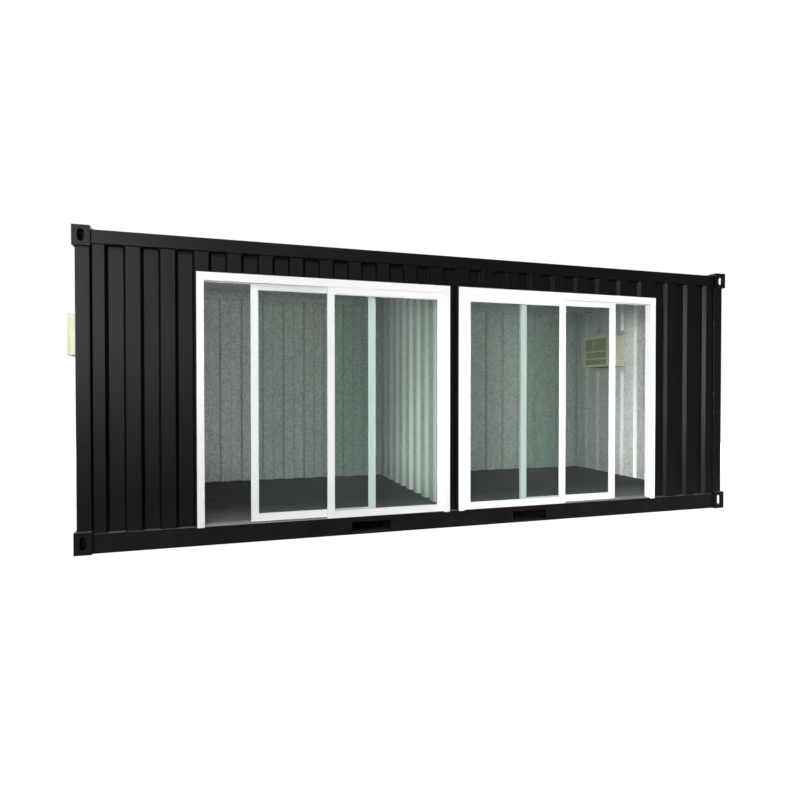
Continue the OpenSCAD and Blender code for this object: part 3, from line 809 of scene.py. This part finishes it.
def sheet_piece(node, place, start, end, base, top, outside=black, inside=lining, rim_slot=None,
                **more):
    """A pressed sheet in place of a CAD node. Its cut ends can be given another material."""
    shape = grown(
        pressed, Start=start, End=end, Base=base, Height=top - base, Outside=outside,
        Inside=inside, **more)
    shape.transform(place)
    if place.determinant() < 0:
        bmesh.ops.reverse_faces(shape, faces=shape.faces)
    shape.normal_update()
    for face in shape.faces:
        if rim_slot is not None and abs(face.normal.y) > 0.9:
            face.material_index = rim_slot
    stand_in(shape, node, (inside, outside))


# %% Walls, header and strip
edge_turn = {"First Flat": -0.082}
HEADER_LAST_FLAT = 0.05
header_low, header_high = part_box("front_header")
last_slope = (header_high.x - first_slope) // PITCH * PITCH - HEADER_LAST_FLAT
back_high = Vector((-wall_low.x, wall_high.y, wall_high.z))
for node, low, high, place, more in (
    ("front_wall_left", wall_low, wall_high, front_place, edge_turn),
    ("front_wall_right", wall_low, wall_high, flip_x @ front_place, edge_turn),
    ("front_header", header_low, header_high, front_place, {"Last Flat": last_slope}),
    ("front_centre_strip", *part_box("front_centre_strip"), front_place, {}),
    ("back_wall", wall_low, back_high, about @ front_place, edge_turn),
):
    sheet_piece(node, place, low.x - first_slope, high.x - first_slope, low.z, high.z, **more)

# %% End walls, with a hole for the air conditioner
END_FLAT, END_WAVES, CUT_DEPTH = 0.059, 10, 0.02
swap_xy = Matrix(((0, 1, 0, 0), (1, 0, 0, 0), (0, 0, 1, 0), (0, 0, 0, 1)))
end_places = {}
for side in ("left", "right"):
    low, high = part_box("end_wall_" + side)
    unit_low, unit_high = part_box(side + "_ac_casing")
    first_y = low.y + END_FLAT
    place = Matrix.Translation((low.x if side == "left" else -high.x, first_y, 0)) @ swap_xy
    end_places[side] = place if side == "left" else flip_x @ place
    end_length = high.y - first_y
    middle, size = (unit_low + unit_high) / 2, unit_high - unit_low
    sheet_piece(
        "end_wall_" + side, end_places[side], -END_FLAT, end_length, wall_low.z, wall_high.z,
        **{
            "Waves": END_WAVES, "Cut Centre": (middle.y - first_y, CUT_DEPTH, middle.z),
            "Cut Size": (size.y, 0.2, size.z)})

# %% Roof: the same wave, laid flat
low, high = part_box("roof")
lay = Matrix(((1, 0, 0, roof_first), (0, 0, -1, high.y), (0, 1, 0, low.z), (0, 0, 0, 1)))
sheet_piece(
    "roof", lay, low.x - roof_first, high.x - roof_first, 0.0, high.y - low.y, outside=lining,
    inside=black, rim_slot=1, Flat=ROOF_FLAT, Slope=ROOF_SLOPE, Depth=ROOF_DEPTH)

# %% Partition
BACK_EDGE = 1.13
shape = merged_copy("partition")
bends = [
    e for e in lengthwise(shape, 2, 1.0)
    if e.calc_face_angle() < math.radians(75) and max(v.co.y for v in e.verts) < BACK_EDGE]
rounded(shape, bends, 0.005, 4)
stand_in(shape, "partition", (lining,), "partition-sheet")

# %% [markdown]
# ## Doors
#
# Frames and leaves are white extrusions with slightly eased edges. Each pane sits in its leaf
# between two thin rubber gaskets, behind a slim white bead that clips in from outside. A strip
# of brush on the fixed leaf closes most of the gap to the sliding one, and a line of black
# sealant closes the joint between each frame and the steel.

# %% Frames, leaves, sills and panes
for side in ("left", "right"):
    for node, ease, finish, steps in (
        ("door_frame", 0.0015, white, 2), ("fixed_leaf", 0.002, white, 2),
        ("sliding_leaf", 0.002, white, 2), ("door_sill", 0.0006, drawn, 2),
        ("fixed_glass", 0.001, glass, 1), ("sliding_glass", 0.001, glass, 1),
    ):
        name = f"{side}-{node}".replace("_", "-").replace("glass", "pane")
        dressed(f"{side}_{node}", ease, (finish,), steps=steps, name=name)

# %% Geometry Nodes: a rim that runs round a rectangle
rim, given, ending = shape_tree(
    "rim",
    {
        "Width": 1.0, "Height": 1.0, "Corner": 0.003, "Bar Width": 0.004, "Bar Depth": 0.004,
        "Bar Round": 0.0, "Material": "Material"})
outline, bar = (
    add(rim, "CurvePrimitiveQuadrilateral", Width=given[wide], Height=given[high])
    for wide, high in (("Width", "Height"), ("Bar Width", "Bar Depth")))
ring = add(
    rim, "CurveToMesh", Curve=filleted(outline, given["Corner"], 4, limit=False),
    Profile_Curve=filleted(bar, given["Bar Round"], 3))
put(ending, painted(made_real(merged(ring, 0.00005)), given["Material"]))

UPRIGHT = Matrix.Rotation(math.radians(90), 4, "X")
SIDEWAYS = Matrix.Rotation(math.radians(90), 4, "Z") @ UPRIGHT


def rim_shape(centre, width, height, bar, corner, finish, stand=UPRIGHT):
    """A rim round an upright rectangle. The bar is a width, a depth and an edge radius."""
    shape = grown(
        rim, Width=width, Height=height, Corner=corner, Bar_Width=bar[0], Bar_Depth=bar[1],
        Bar_Round=bar[2], Material=finish)
    shape.transform(Matrix.Translation(centre) @ stand)
    return shape


def put_together(shapes):
    """Several bmeshes as one."""
    whole = shapes[0]
    for shape in shapes[1:]:
        mesh = bpy.data.meshes.new("part")
        shape.to_mesh(mesh)
        shape.free()
        whole.from_mesh(mesh)
        bpy.data.meshes.remove(mesh)
    return whole


def block(centre, size, ease):
    """A box with rounded edges."""
    shape = bmesh.new()
    place = Matrix.Translation(centre) @ Matrix.Diagonal((*size, 1))
    bmesh.ops.create_cube(shape, size=1.0, matrix=place)
    rounded(shape, shape.edges[:], ease, 2)
    return shape


# %% Gaskets and beads
BEAD, GASKET, GROOVE = 0.004, 0.003, 0.012
for side in ("left", "right"):
    for kind, body in (("fixed", "container"), ("sliding", side + "_leaf")):
        low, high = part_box(f"{side}_{kind}_glass")
        width, height = high.x - low.x - 2 * GROOVE, high.z - low.z - 2 * GROOVE
        middle = (low + high) / 2
        gaskets = [
            rim_shape(
                (middle.x, y, middle.z), width - GASKET, height - GASKET,
                (GASKET, GASKET, 0.0012), 0.001, rubber)
            for y in (low.y - GASKET / 2, high.y + GASKET / 2)]
        piece_from(
            put_together(gaskets), f"{side}-{kind}-gasket", (rubber,), body,
            turn_out=True)
        bead = rim_shape(
            (middle.x, low.y - 0.008, middle.z), width - BEAD, height - BEAD,
            (BEAD, 0.010, 0.0015), 0.001, white)
        piece_from(bead, f"{side}-{kind}-bead", (white,), body, turn_out=True)

# %% [markdown]
# ## Deck
#
# A container floor is laid in wide plywood panels across the steel, with a fine gap between
# them, and screwed down to every cross-member. The panels are one box repeated along a line
# by a node tree, and the screws stand in a grid that takes its rows from the cross-members.

# %% Geometry Nodes: one box repeated along a line
bars, given, ending = shape_tree(
    "bars in a row",
    {
        "Count": 10, "Step": (0.01, 0, 0), "Size": (0.002, 0.3, 0.008), "Turn": (0, 0, 0),
        "Material": "Material"})
row = add(bars, "MeshLine", Count=given["Count"], Offset=given["Step"])
bar = add(bars, "MeshCube", Size=given["Size"])
laid = add(bars, "InstanceOnPoints", Points=row, Instance=bar, Rotation=given["Turn"])
put(ending, painted(made_real(laid), given["Material"]))


def bar_row(first, count, step, size, finish, ease=0.0005, tilt=0.0, steps=1):
    """A row of bars with eased edges, starting with its middle at a place."""
    shape = grown(bars, Count=count, Step=step, Size=size, Turn=(tilt, 0, 0), Material=finish)
    if ease:
        rounded(shape, sharp_edges(shape), ease, steps)
    shape.transform(Matrix.Translation(first))
    return shape


# %% Floor panels
PANELS, PANEL_GAP = 5, 0.002
deck_low, deck_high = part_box("floor")
size = deck_high - deck_low
step = size.x / PANELS
first = deck_low + Vector((step, size.y, size.z)) / 2
floor_panels = bar_row(
    first, PANELS, (step, 0, 0), (step - PANEL_GAP, size.y, size.z), deck, 0.0012, steps=2)
stand_in(floor_panels, "floor", (deck,), "deck-panels")

# %% Geometry Nodes: screws on given points
screws, given, ending = shape_tree(
    "screws",
    {
        "Radius": 0.006, "Height": 0.001, "Slot": 0.0012, "Material": "Material",
        "Slot Material": "Material"})
head = add(
    screws, "MeshCone", Vertices=14, Radius_Top=given["Radius"] * 0.72,
    Radius_Bottom=given["Radius"], Depth=given["Height"])
parts = [painted(head, given["Material"])]
for wide, high in (("Radius", "Slot"), ("Slot", "Radius")):
    size = add(screws, "CombineXYZ", given[wide], given[high], 0.0002)
    bar = add(screws, "MeshCube", Size=size)
    bar = add(screws, "Transform", Geometry=bar, Translation=along_z(screws, given["Height"]))
    parts.append(painted(bar, given["Slot Material"]))
spin = add(screws, "RandomValue", Seed=7, data_type="FLOAT")[1]
put(spin.socket.node.inputs[3], math.pi)
placed = add(
    screws, "InstanceOnPoints", Points=given["Path"], Rotation=along_z(screws, spin),
    Instance=add(screws, "JoinGeometry", parts))
put(ending, made_real(placed))


def path_mesh(points):
    """A mesh of one line through the points."""
    mesh = bpy.data.meshes.new("path")
    mesh.from_pydata(points, [(i, i + 1) for i in range(len(points) - 1)], [])
    return mesh


def screw_piece(name, points, place, radius, height):
    """Screw heads at points in a plane, turned and moved into place. Their mesh comes with an
    empty first slot, then the slots and then the heads."""
    shape = grown(
        screws, Radius=radius, Height=height, Slot=radius * 0.2, Material=zinc,
        Slot_Material=rubber, path=path_mesh(points))
    shape.transform(place)
    piece_from(shape, name, (None, rubber, zinc), "container")
    print(name, len(points), "screws")


# %% Deck screws in line with the cross-members
FLANGE, SAME = 0.045, 0.0006
COLUMN_FIRST, COLUMN_STEP, COLUMNS = -1.05, 0.2625, 9
faces_at = sorted({round(v.co.x, 4) for v in frame["nodes"]["cross_members"].data.vertices})
rows = [
    x + FLANGE / 2 for x in faces_at
    if any(abs(x + FLANGE - other) < SAME for other in faces_at)]
columns = [COLUMN_FIRST + i * COLUMN_STEP for i in range(COLUMNS)]
screw_piece(
    "deck-screws", [(x, y, deck_high.z) for x in rows for y in columns], Matrix.Identity(4),
    0.0055, 0.0008)

# %% [markdown]
# ## Sealant and brushes
#
# The joint round each door frame is closed from outside with a line of sealant, which is the
# same rim again with a rounder bar. The brush is a row of short hair in a thin channel, seen
# only from inside the room. It stands on the back of the fixed leaf's outer stile and stops
# short of the sliding leaf, so the two never rub hard.

# %% Sealant round the frames, brush on the fixed leaves
for side, inwards in (("left", 1), ("right", -1)):
    low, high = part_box(side + "_door_frame")
    middle = (low + high) / 2
    line = rim_shape(
        (middle.x, outer_flat - 0.0015, middle.z), high.x - low.x + 0.005,
        high.z - low.z + 0.005, (0.007, 0.005, 0.002), 0.002, rubber)
    piece_from(line, side + "-frame-sealant", (rubber,), "container", turn_out=True)
    low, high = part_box(side + "_fixed_leaf")
    x = (low.x if side == "left" else high.x) + inwards * 0.020
    strips = [
        block(
            (x, high.y + out, (low.z + high.z) / 2), (width, 0.0016, high.z - low.z - short),
            0.0005)
        for out, width, short in ((0.0008, 0.009, 0.12), (0.0022, 0.004, 0.124))]
    piece_from(put_together(strips), side + "-brush-strip", (rubber,), "container")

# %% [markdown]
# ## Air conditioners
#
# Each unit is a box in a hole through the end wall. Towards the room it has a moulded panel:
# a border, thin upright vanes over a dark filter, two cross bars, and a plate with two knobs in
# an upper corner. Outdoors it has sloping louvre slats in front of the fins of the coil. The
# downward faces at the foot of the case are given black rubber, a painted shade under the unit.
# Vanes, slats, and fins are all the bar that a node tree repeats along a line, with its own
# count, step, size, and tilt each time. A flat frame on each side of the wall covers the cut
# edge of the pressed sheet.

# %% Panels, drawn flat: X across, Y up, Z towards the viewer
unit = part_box("left_ac_casing")[1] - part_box("left_ac_casing")[0]
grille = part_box("left_ac_room_grille")
WIDTH, HEIGHT, PANEL = unit.y, unit.z, grille[1].x - grille[0].x
BORDER = 0.034
OPEN_WIDTH, OPEN_HEIGHT = WIDTH - 2 * BORDER, HEIGHT - 2 * BORDER
VANES, SLATS, FINS, PIPES = 24, 13, 110, 12


def knob(place, radius, height):
    """A tapered knob with a grip bar across it, standing on the XY plane."""
    shape = bmesh.new()
    bmesh.ops.create_cone(
        shape, cap_ends=True, segments=28, radius1=radius, radius2=radius * 0.86, depth=height)
    rounded(shape, sharp_edges(shape), radius * 0.1, 2)
    shape.transform(Matrix.Translation(place + Vector((0, 0, height / 2))))
    grip = block(
        place + Vector((0, 0, height + 0.001)), (radius * 0.3, radius * 1.6, 0.002), 0.0006)
    return put_together([shape, grip])


def border(finish):
    """The moulded border of a panel."""
    return rim_shape(
        (WIDTH / 2, HEIGHT / 2, PANEL / 2), WIDTH - BORDER, HEIGHT - BORDER,
        (BORDER, PANEL, 0.004), 0.003, finish, Matrix.Identity(4))


def room_panel():
    """Border and cross bars."""
    cross = bar_row(
        (WIDTH / 2, HEIGHT * 0.27, 0.012), 2, (0, HEIGHT * 0.23, 0), (OPEN_WIDTH, 0.016, 0.012),
        panel, 0.0015)
    return put_together([border(panel), cross])


def vanes():
    """Upright vanes and a mullion beside the control plate."""
    step = OPEN_WIDTH / (VANES + 1)
    thin = bar_row(
        (BORDER + step, HEIGHT / 2, 0.010), VANES, (step, 0, 0), (0.0028, OPEN_HEIGHT, 0.009),
        vane)
    mullion = bar_row(
        (BORDER + OPEN_WIDTH * 0.36, HEIGHT * 0.70, 0.012), 1, (0.1, 0, 0),
        (0.012, HEIGHT * 0.42, 0.012), vane, 0.0015)
    return put_together([thin, mullion])


def filter_sheet():
    """The dark filter behind the vanes."""
    return block(
        (WIDTH / 2, HEIGHT / 2, 0.0025), (OPEN_WIDTH + 0.01, OPEN_HEIGHT + 0.01, 0.005), 0.001)


def controls():
    """The plate in the upper corner, with two knobs."""
    middle = Vector((BORDER + OPEN_WIDTH * 0.17, HEIGHT * 0.71, 0.0))
    board = block(
        middle + Vector((0, 0, 0.0095)), (OPEN_WIDTH * 0.30, HEIGHT * 0.36, 0.011), 0.002)
    knobs = [knob(middle + Vector((0, up, 0.0150)), 0.019, 0.0022) for up in (-0.035, 0.035)]
    return put_together([board] + knobs)


def outdoor_panel():
    """Border, sloping slats and two posts."""
    step = OPEN_HEIGHT / SLATS
    slats = bar_row(
        (WIDTH / 2, BORDER + step / 2, 0.011), SLATS, (0, step, 0), (OPEN_WIDTH, 0.0016, 0.020),
        cream, tilt=math.radians(38))
    posts = bar_row(
        (WIDTH / 3, HEIGHT / 2, 0.004), 2, (WIDTH / 3, 0, 0), (0.008, OPEN_HEIGHT, 0.006), cream)
    return put_together([border(cream), slats, posts])


def coil():
    """Fins of the coil with the ends of its pipes."""
    fins = bar_row(
        (BORDER + 0.002, HEIGHT / 2, 0.0016), FINS, ((OPEN_WIDTH - 0.004) / (FINS - 1), 0, 0),
        (0.0007, OPEN_HEIGHT, 0.0030), fin_metal, 0)
    pipes = bar_row(
        (WIDTH / 2, BORDER + 0.012, 0.0008), PIPES, (0, (OPEN_HEIGHT - 0.024) / (PIPES - 1), 0),
        (OPEN_WIDTH, 0.007, 0.0014), fin_metal, 0)
    return put_together([fins, pipes])


def facing(origin, way):
    """Turns a flat panel upright, to face along X one way or the other."""
    return Matrix(
        ((0, 0, way, origin[0]), (way, 0, 0, origin[1]), (0, 1, 0, origin[2]), (0, 0, 0, 1)))


# %% Units put together
COVER, UNDERSIDE_SHADE = 0.062, 0.001
for side, way in (("left", 1), ("right", -1)):
    low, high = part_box(side + "_ac_casing")
    room, far = (high, low) if way > 0 else (low, high)
    # Painted shade: downward faces at the foot of the case get black rubber, for the shade under
    # it.
    dressed(
        side + "_ac_casing", 0.006, (cream, rubber), steps=3,
        rule=lambda centre, normal: normal.z < -0.7 and centre.z < low.z + UNDERSIDE_SHADE)
    room_place = facing((room.x, far.y, low.z), way)
    out_place = facing((far.x, room.y, low.z), -way)
    for make, name, finish, place, nodes in (
        (room_panel, "room-panel", panel, room_place, (side + "_ac_room_grille",)),
        (vanes, "vanes", vane, room_place, ()),
        (filter_sheet, "filter", mesh_filter, room_place, ()),
        (controls, "controls", plate, room_place, ()),
        (outdoor_panel, "outdoor-panel", cream, out_place, (side + "_ac_outdoor_louvre",)),
        (coil, "coil", fin_metal, out_place, ()),
    ):
        shape = make()
        shape.transform(place)
        piece_from(
            shape, f"{side}-ac-{name}", (finish,), "container", nodes,
            turn_out=True)
    middle = (low + high) / 2
    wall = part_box("end_wall_" + side)
    inner, outer = (wall[1].x, wall[0].x) if way > 0 else (wall[0].x, wall[1].x)
    for x, name, finish in ((inner + way * 0.001, "inner", lining),
                            (outer - way * 0.002, "outer", black)):
        cover = rim_shape(
            (x, middle.y, middle.z), WIDTH + COVER, HEIGHT + COVER, (COVER, 0.003, 0.001), 0.002,
            finish, SIDEWAYS)
        piece_from(
            cover, f"{side}-ac-{name}-frame", (finish,), "container",
            turn_out=True)
    points = [(far.x + way * x, z, 0) for x in (0.06, 0.20) for z in (low.z + 0.03, high.z - 0.03)]
    for y, turn, name in ((low.y, 1, "front"), (high.y, -1, "back")):
        stand = Matrix(((1, 0, 0, 0), (0, 0, -turn, y), (0, 1, 0, 0), (0, 0, 0, 1)))
        screw_piece(f"{side}-ac-screws-{name}", points, stand, 0.005, 0.0012)
print("unit is", round(WIDTH, 3), "by", round(HEIGHT, 3))

# %% [markdown]
# ## Welds
#
# The pressed sheet is welded to the bottom rails all along its wavy foot, and the castings are
# welded to the posts. A weld is a thin bead with small ripples. A node tree takes the path,
# cuts it into short steps, gives each point a radius that swells and shrinks a little, and
# draws the bead along it. For the foot of the sheet the path is the same wave line as the
# sheet.

# %% Geometry Nodes: weld bead
BEAD_STEP = 0.006


def bead_along(line, radius, finish):
    """Nodes that draw a rippled bead along a curve."""
    tree = tree_of(line)
    fine = add(tree, "ResampleCurve", Curve=line, Length=BEAD_STEP, mode="LENGTH")
    wobble = add(tree, "TexNoise", Scale=130.0, Detail=1.0)
    swell = radius * (wobble * 1.1 + 0.5)
    fine = add(tree, "SetCurveRadius", Curve=fine, Radius=swell)
    bar = add(tree, "CurvePrimitiveCircle", Resolution=7, Radius=1.0)
    bead = add(tree, "CurveToMesh", Curve=fine, Profile_Curve=bar)
    if "Scale" in bead.socket.node.inputs:
        put(bead.socket.node.inputs["Scale"], swell)
    return painted(made_real(bead), finish)


weld, given, ending = shape_tree("weld bead", {"Radius": 0.003, "Material": "Material"})
curve = add(weld, "MeshToCurve", Mesh=given["Path"])
put(ending, bead_along(curve, given["Radius"], given["Material"]))

wave_weld, given, ending = shape_tree(
    "wave weld", {**WAVE, "Radius": 0.003, "Base": 0.0, "Material": "Material"})
curve = raised(wave_in(wave_weld, given), given["Base"])
put(ending, bead_along(curve, given["Radius"], given["Material"]))

# %% Welds at the foot of the sheet
foot = {"Base": wall_low.z + 0.001, "Radius": 0.0028, "Material": black}
start, end = wall_low.x - first_slope + 0.002, wall_high.x - first_slope
back_end = -wall_low.x - first_slope - 0.002
ends = {"Start": -END_FLAT + 0.001, "End": end_length - 0.001, "Waves": END_WAVES}
for name, place, values in (
    ("front-wall-left", front_place, {"Start": start, "End": end, **edge_turn}),
    ("front-wall-right", flip_x @ front_place, {"Start": start, "End": end, **edge_turn}),
    ("back-wall", about @ front_place, {"Start": start, "End": back_end, **edge_turn}),
    ("end-wall-left", end_places["left"], ends), ("end-wall-right", end_places["right"], ends),
):
    shape = grown(wave_weld, **foot, **values)
    shape.transform(place)
    piece_from(shape, name + "-welds", (black,), "container", turn_out=True)

# %% Welds round the castings
POST_LENGTH, POST_WIDTH = 0.095, 0.09
outer_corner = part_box("corner_posts")[1]
beads = []
for x_side in (-1, 1):
    for y_side in (-1, 1):
        for z in (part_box("castings_bottom")[1].z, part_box("castings_top")[0].z):
            x, y = x_side * outer_corner.x, y_side * outer_corner.y
            path = [(x - x_side * POST_LENGTH, y, z), (x, y, z), (x, y - y_side * POST_WIDTH, z)]
            beads.append(grown(weld, Radius=0.0035, Material=black, path=path_mesh(path)))
piece_from(
    put_together(beads), "casting-welds", (black,), "container", turn_out=True)

# %% [markdown]
# ## Light, backdrop and floor
#
# A black glossy box shows its lamps more than its colour, and the pale rooms behind it need
# another light than the paint does. So most lamps are of one of two kinds. Dull lamps are seen
# only by dull surfaces: they fill the rooms and whiten the doors. Gloss lamps are seen only by
# glossy surfaces: they give the near end its sheen, and a narrow one gives the slopes on the
# right their bright lines. The lamps at the right end and behind are seen by both. The world
# fills in evenly. Rays from the camera, from gloss and through glass see a white world, but
# light that has bounced off a dull surface doesn't, so the white adds nothing to the rooms.

# %% Soft lamps
def soft_lamp(name, place, target, size, watts, seen_by="both", spread=180):
    """A rectangular area lamp that faces a point, and lights dull surfaces, glossy or both."""
    lamp = bpy.data.lights.new(name, "AREA")
    lamp.shape = "RECTANGLE"
    lamp.size, lamp.size_y = size
    lamp.energy = watts
    lamp.spread = math.radians(spread)
    holder = bpy.data.objects.new(name, lamp)
    holder.location = place
    way = Vector(target) - Vector(place)
    holder.rotation_euler = way.to_track_quat("-Z", "Y").to_euler()
    bpy.context.scene.collection.objects.link(holder)
    holder.visible_diffuse = seen_by != "gloss"
    holder.visible_glossy = seen_by != "dull"
    holder.visible_transmission = holder.visible_camera = False
    print(f"{name}: {watts} W")


for lamp in (
    ("low front panel", (0.5, -11.0, 0.8), (0.5, -1.2, 1.1), (6.0, 1.1), 33, "dull", 60),
    ("left panel", (-9.5, -7.0, 1.4), (1.0, -1.2, 1.0), (3.0, 2.4), 340, "dull"),
    ("far room panel", (-5.0, -10.0, 1.5), (2.7, -0.7, 0.75), (2.0, 2.0), 29, "dull", 26),
    ("high panel", (-2.5, -8.0, 7.5), (0.0, -1.2, 1.0), (5.0, 4.0), 370, "dull"),
    ("left room bounce", (-1.45, -0.3, 0.2), (-1.45, -0.3, 2.0), (2.2, 1.0), 6, "dull"),
    ("right room bounce", (1.45, -0.3, 0.2), (1.45, -0.3, 2.0), (2.2, 1.0), 6, "dull"),
    ("near end sheen", (-6.0, -10.5, 4.6), (-2.5, -1.2, 1.4), (4.0, 3.0), 690, "gloss"),
    ("near end low sheen", (-5.5, -10.5, 2.2), (-2.5, -1.2, 1.2), (5.0, 2.0), 640, "gloss"),
    ("near unit panel", (-6.5, -9.0, 1.6), (-3.2, 0.1, 1.75), (0.8, 0.8), 0.9, "dull", 10),
    ("slope sheen", (-7.2, -4.4, 1.8), (2.2, -1.2, 1.2), (1.2, 4.0), 72, "gloss", 34),
    ("top rail sheen", (-2.0, -9.0, 7.5), (0.0, -1.2, 2.0), (8.0, 2.0), 1100, "gloss"),
    ("right end panel", (9.5, 3.5, 3.0), (0.0, 0.5, 1.2), (4.0, 4.0), 700),
    ("back panel", (-4.5, 9.5, 4.0), (0.0, 1.2, 1.2), (6.0, 3.0), 900),
):
    soft_lamp(*lamp)

# %% World
def plainly_seen(tree):
    """1 for rays that come from the camera, off gloss or through glass, with no dull bounce."""
    rays = add(tree, "LightPath")
    direct = larger(
        rays["Is Camera Ray"], larger(rays["Is Glossy Ray"], rays["Is Transmission Ray"]))
    return direct * (rays["Diffuse Depth"] < 0.5)


world = bpy.data.worlds.new("studio")
bpy.context.scene.world = world
world.use_nodes = True
tree = world.node_tree
tree.nodes.clear()
fill = add(tree, "Background", (0.95, 0.98, 1.0, 1), 0.12)
plain = add(tree, "Background", (1, 1, 1, 1), 1.0)
choice = add(tree, "MixShader", plainly_seen(tree), fill, plain)
add(tree, "OutputWorld", choice)

# %% Pale floor that keeps the shadow
floor_shape = bmesh.new()
bmesh.ops.create_grid(floor_shape, x_segments=2, y_segments=2, size=60)
floor_mesh = bpy.data.meshes.new("studio floor")
floor_shape.to_mesh(floor_mesh)
floor_shape.free()
studio_floor = bpy.data.objects.new("studio_floor", floor_mesh)
bpy.context.scene.collection.objects.link(studio_floor)
pale, tree = material("pale floor", 0.9, specular=0.0)
place = object_place(tree, (1, 1.6, 1))
away = add(tree, "VectorMath", place, operation="LENGTH")["Value"]
shader = tree.nodes["Principled BSDF"].inputs
shader["Base Color"].default_value = (0.45, 0.45, 0.45, 1)
shader["Emission Color"].default_value = (1, 1, 1, 1)
put(shader["Emission Strength"], plainly_seen(tree) * ramp(away, 5.0, 8.0, 0.85, 1.0))
floor_mesh.materials.append(pale)
studio_floor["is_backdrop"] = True

# %% Colours as written
bpy.context.scene.view_settings.view_transform = "Standard"

# %% The box of the finished object
low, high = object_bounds()
grown_low, grown_high = cad_low - low, high - cad_high
print("grows by", [round(1000 * v, 1) for v in (*grown_low, *grown_high)], "mm")
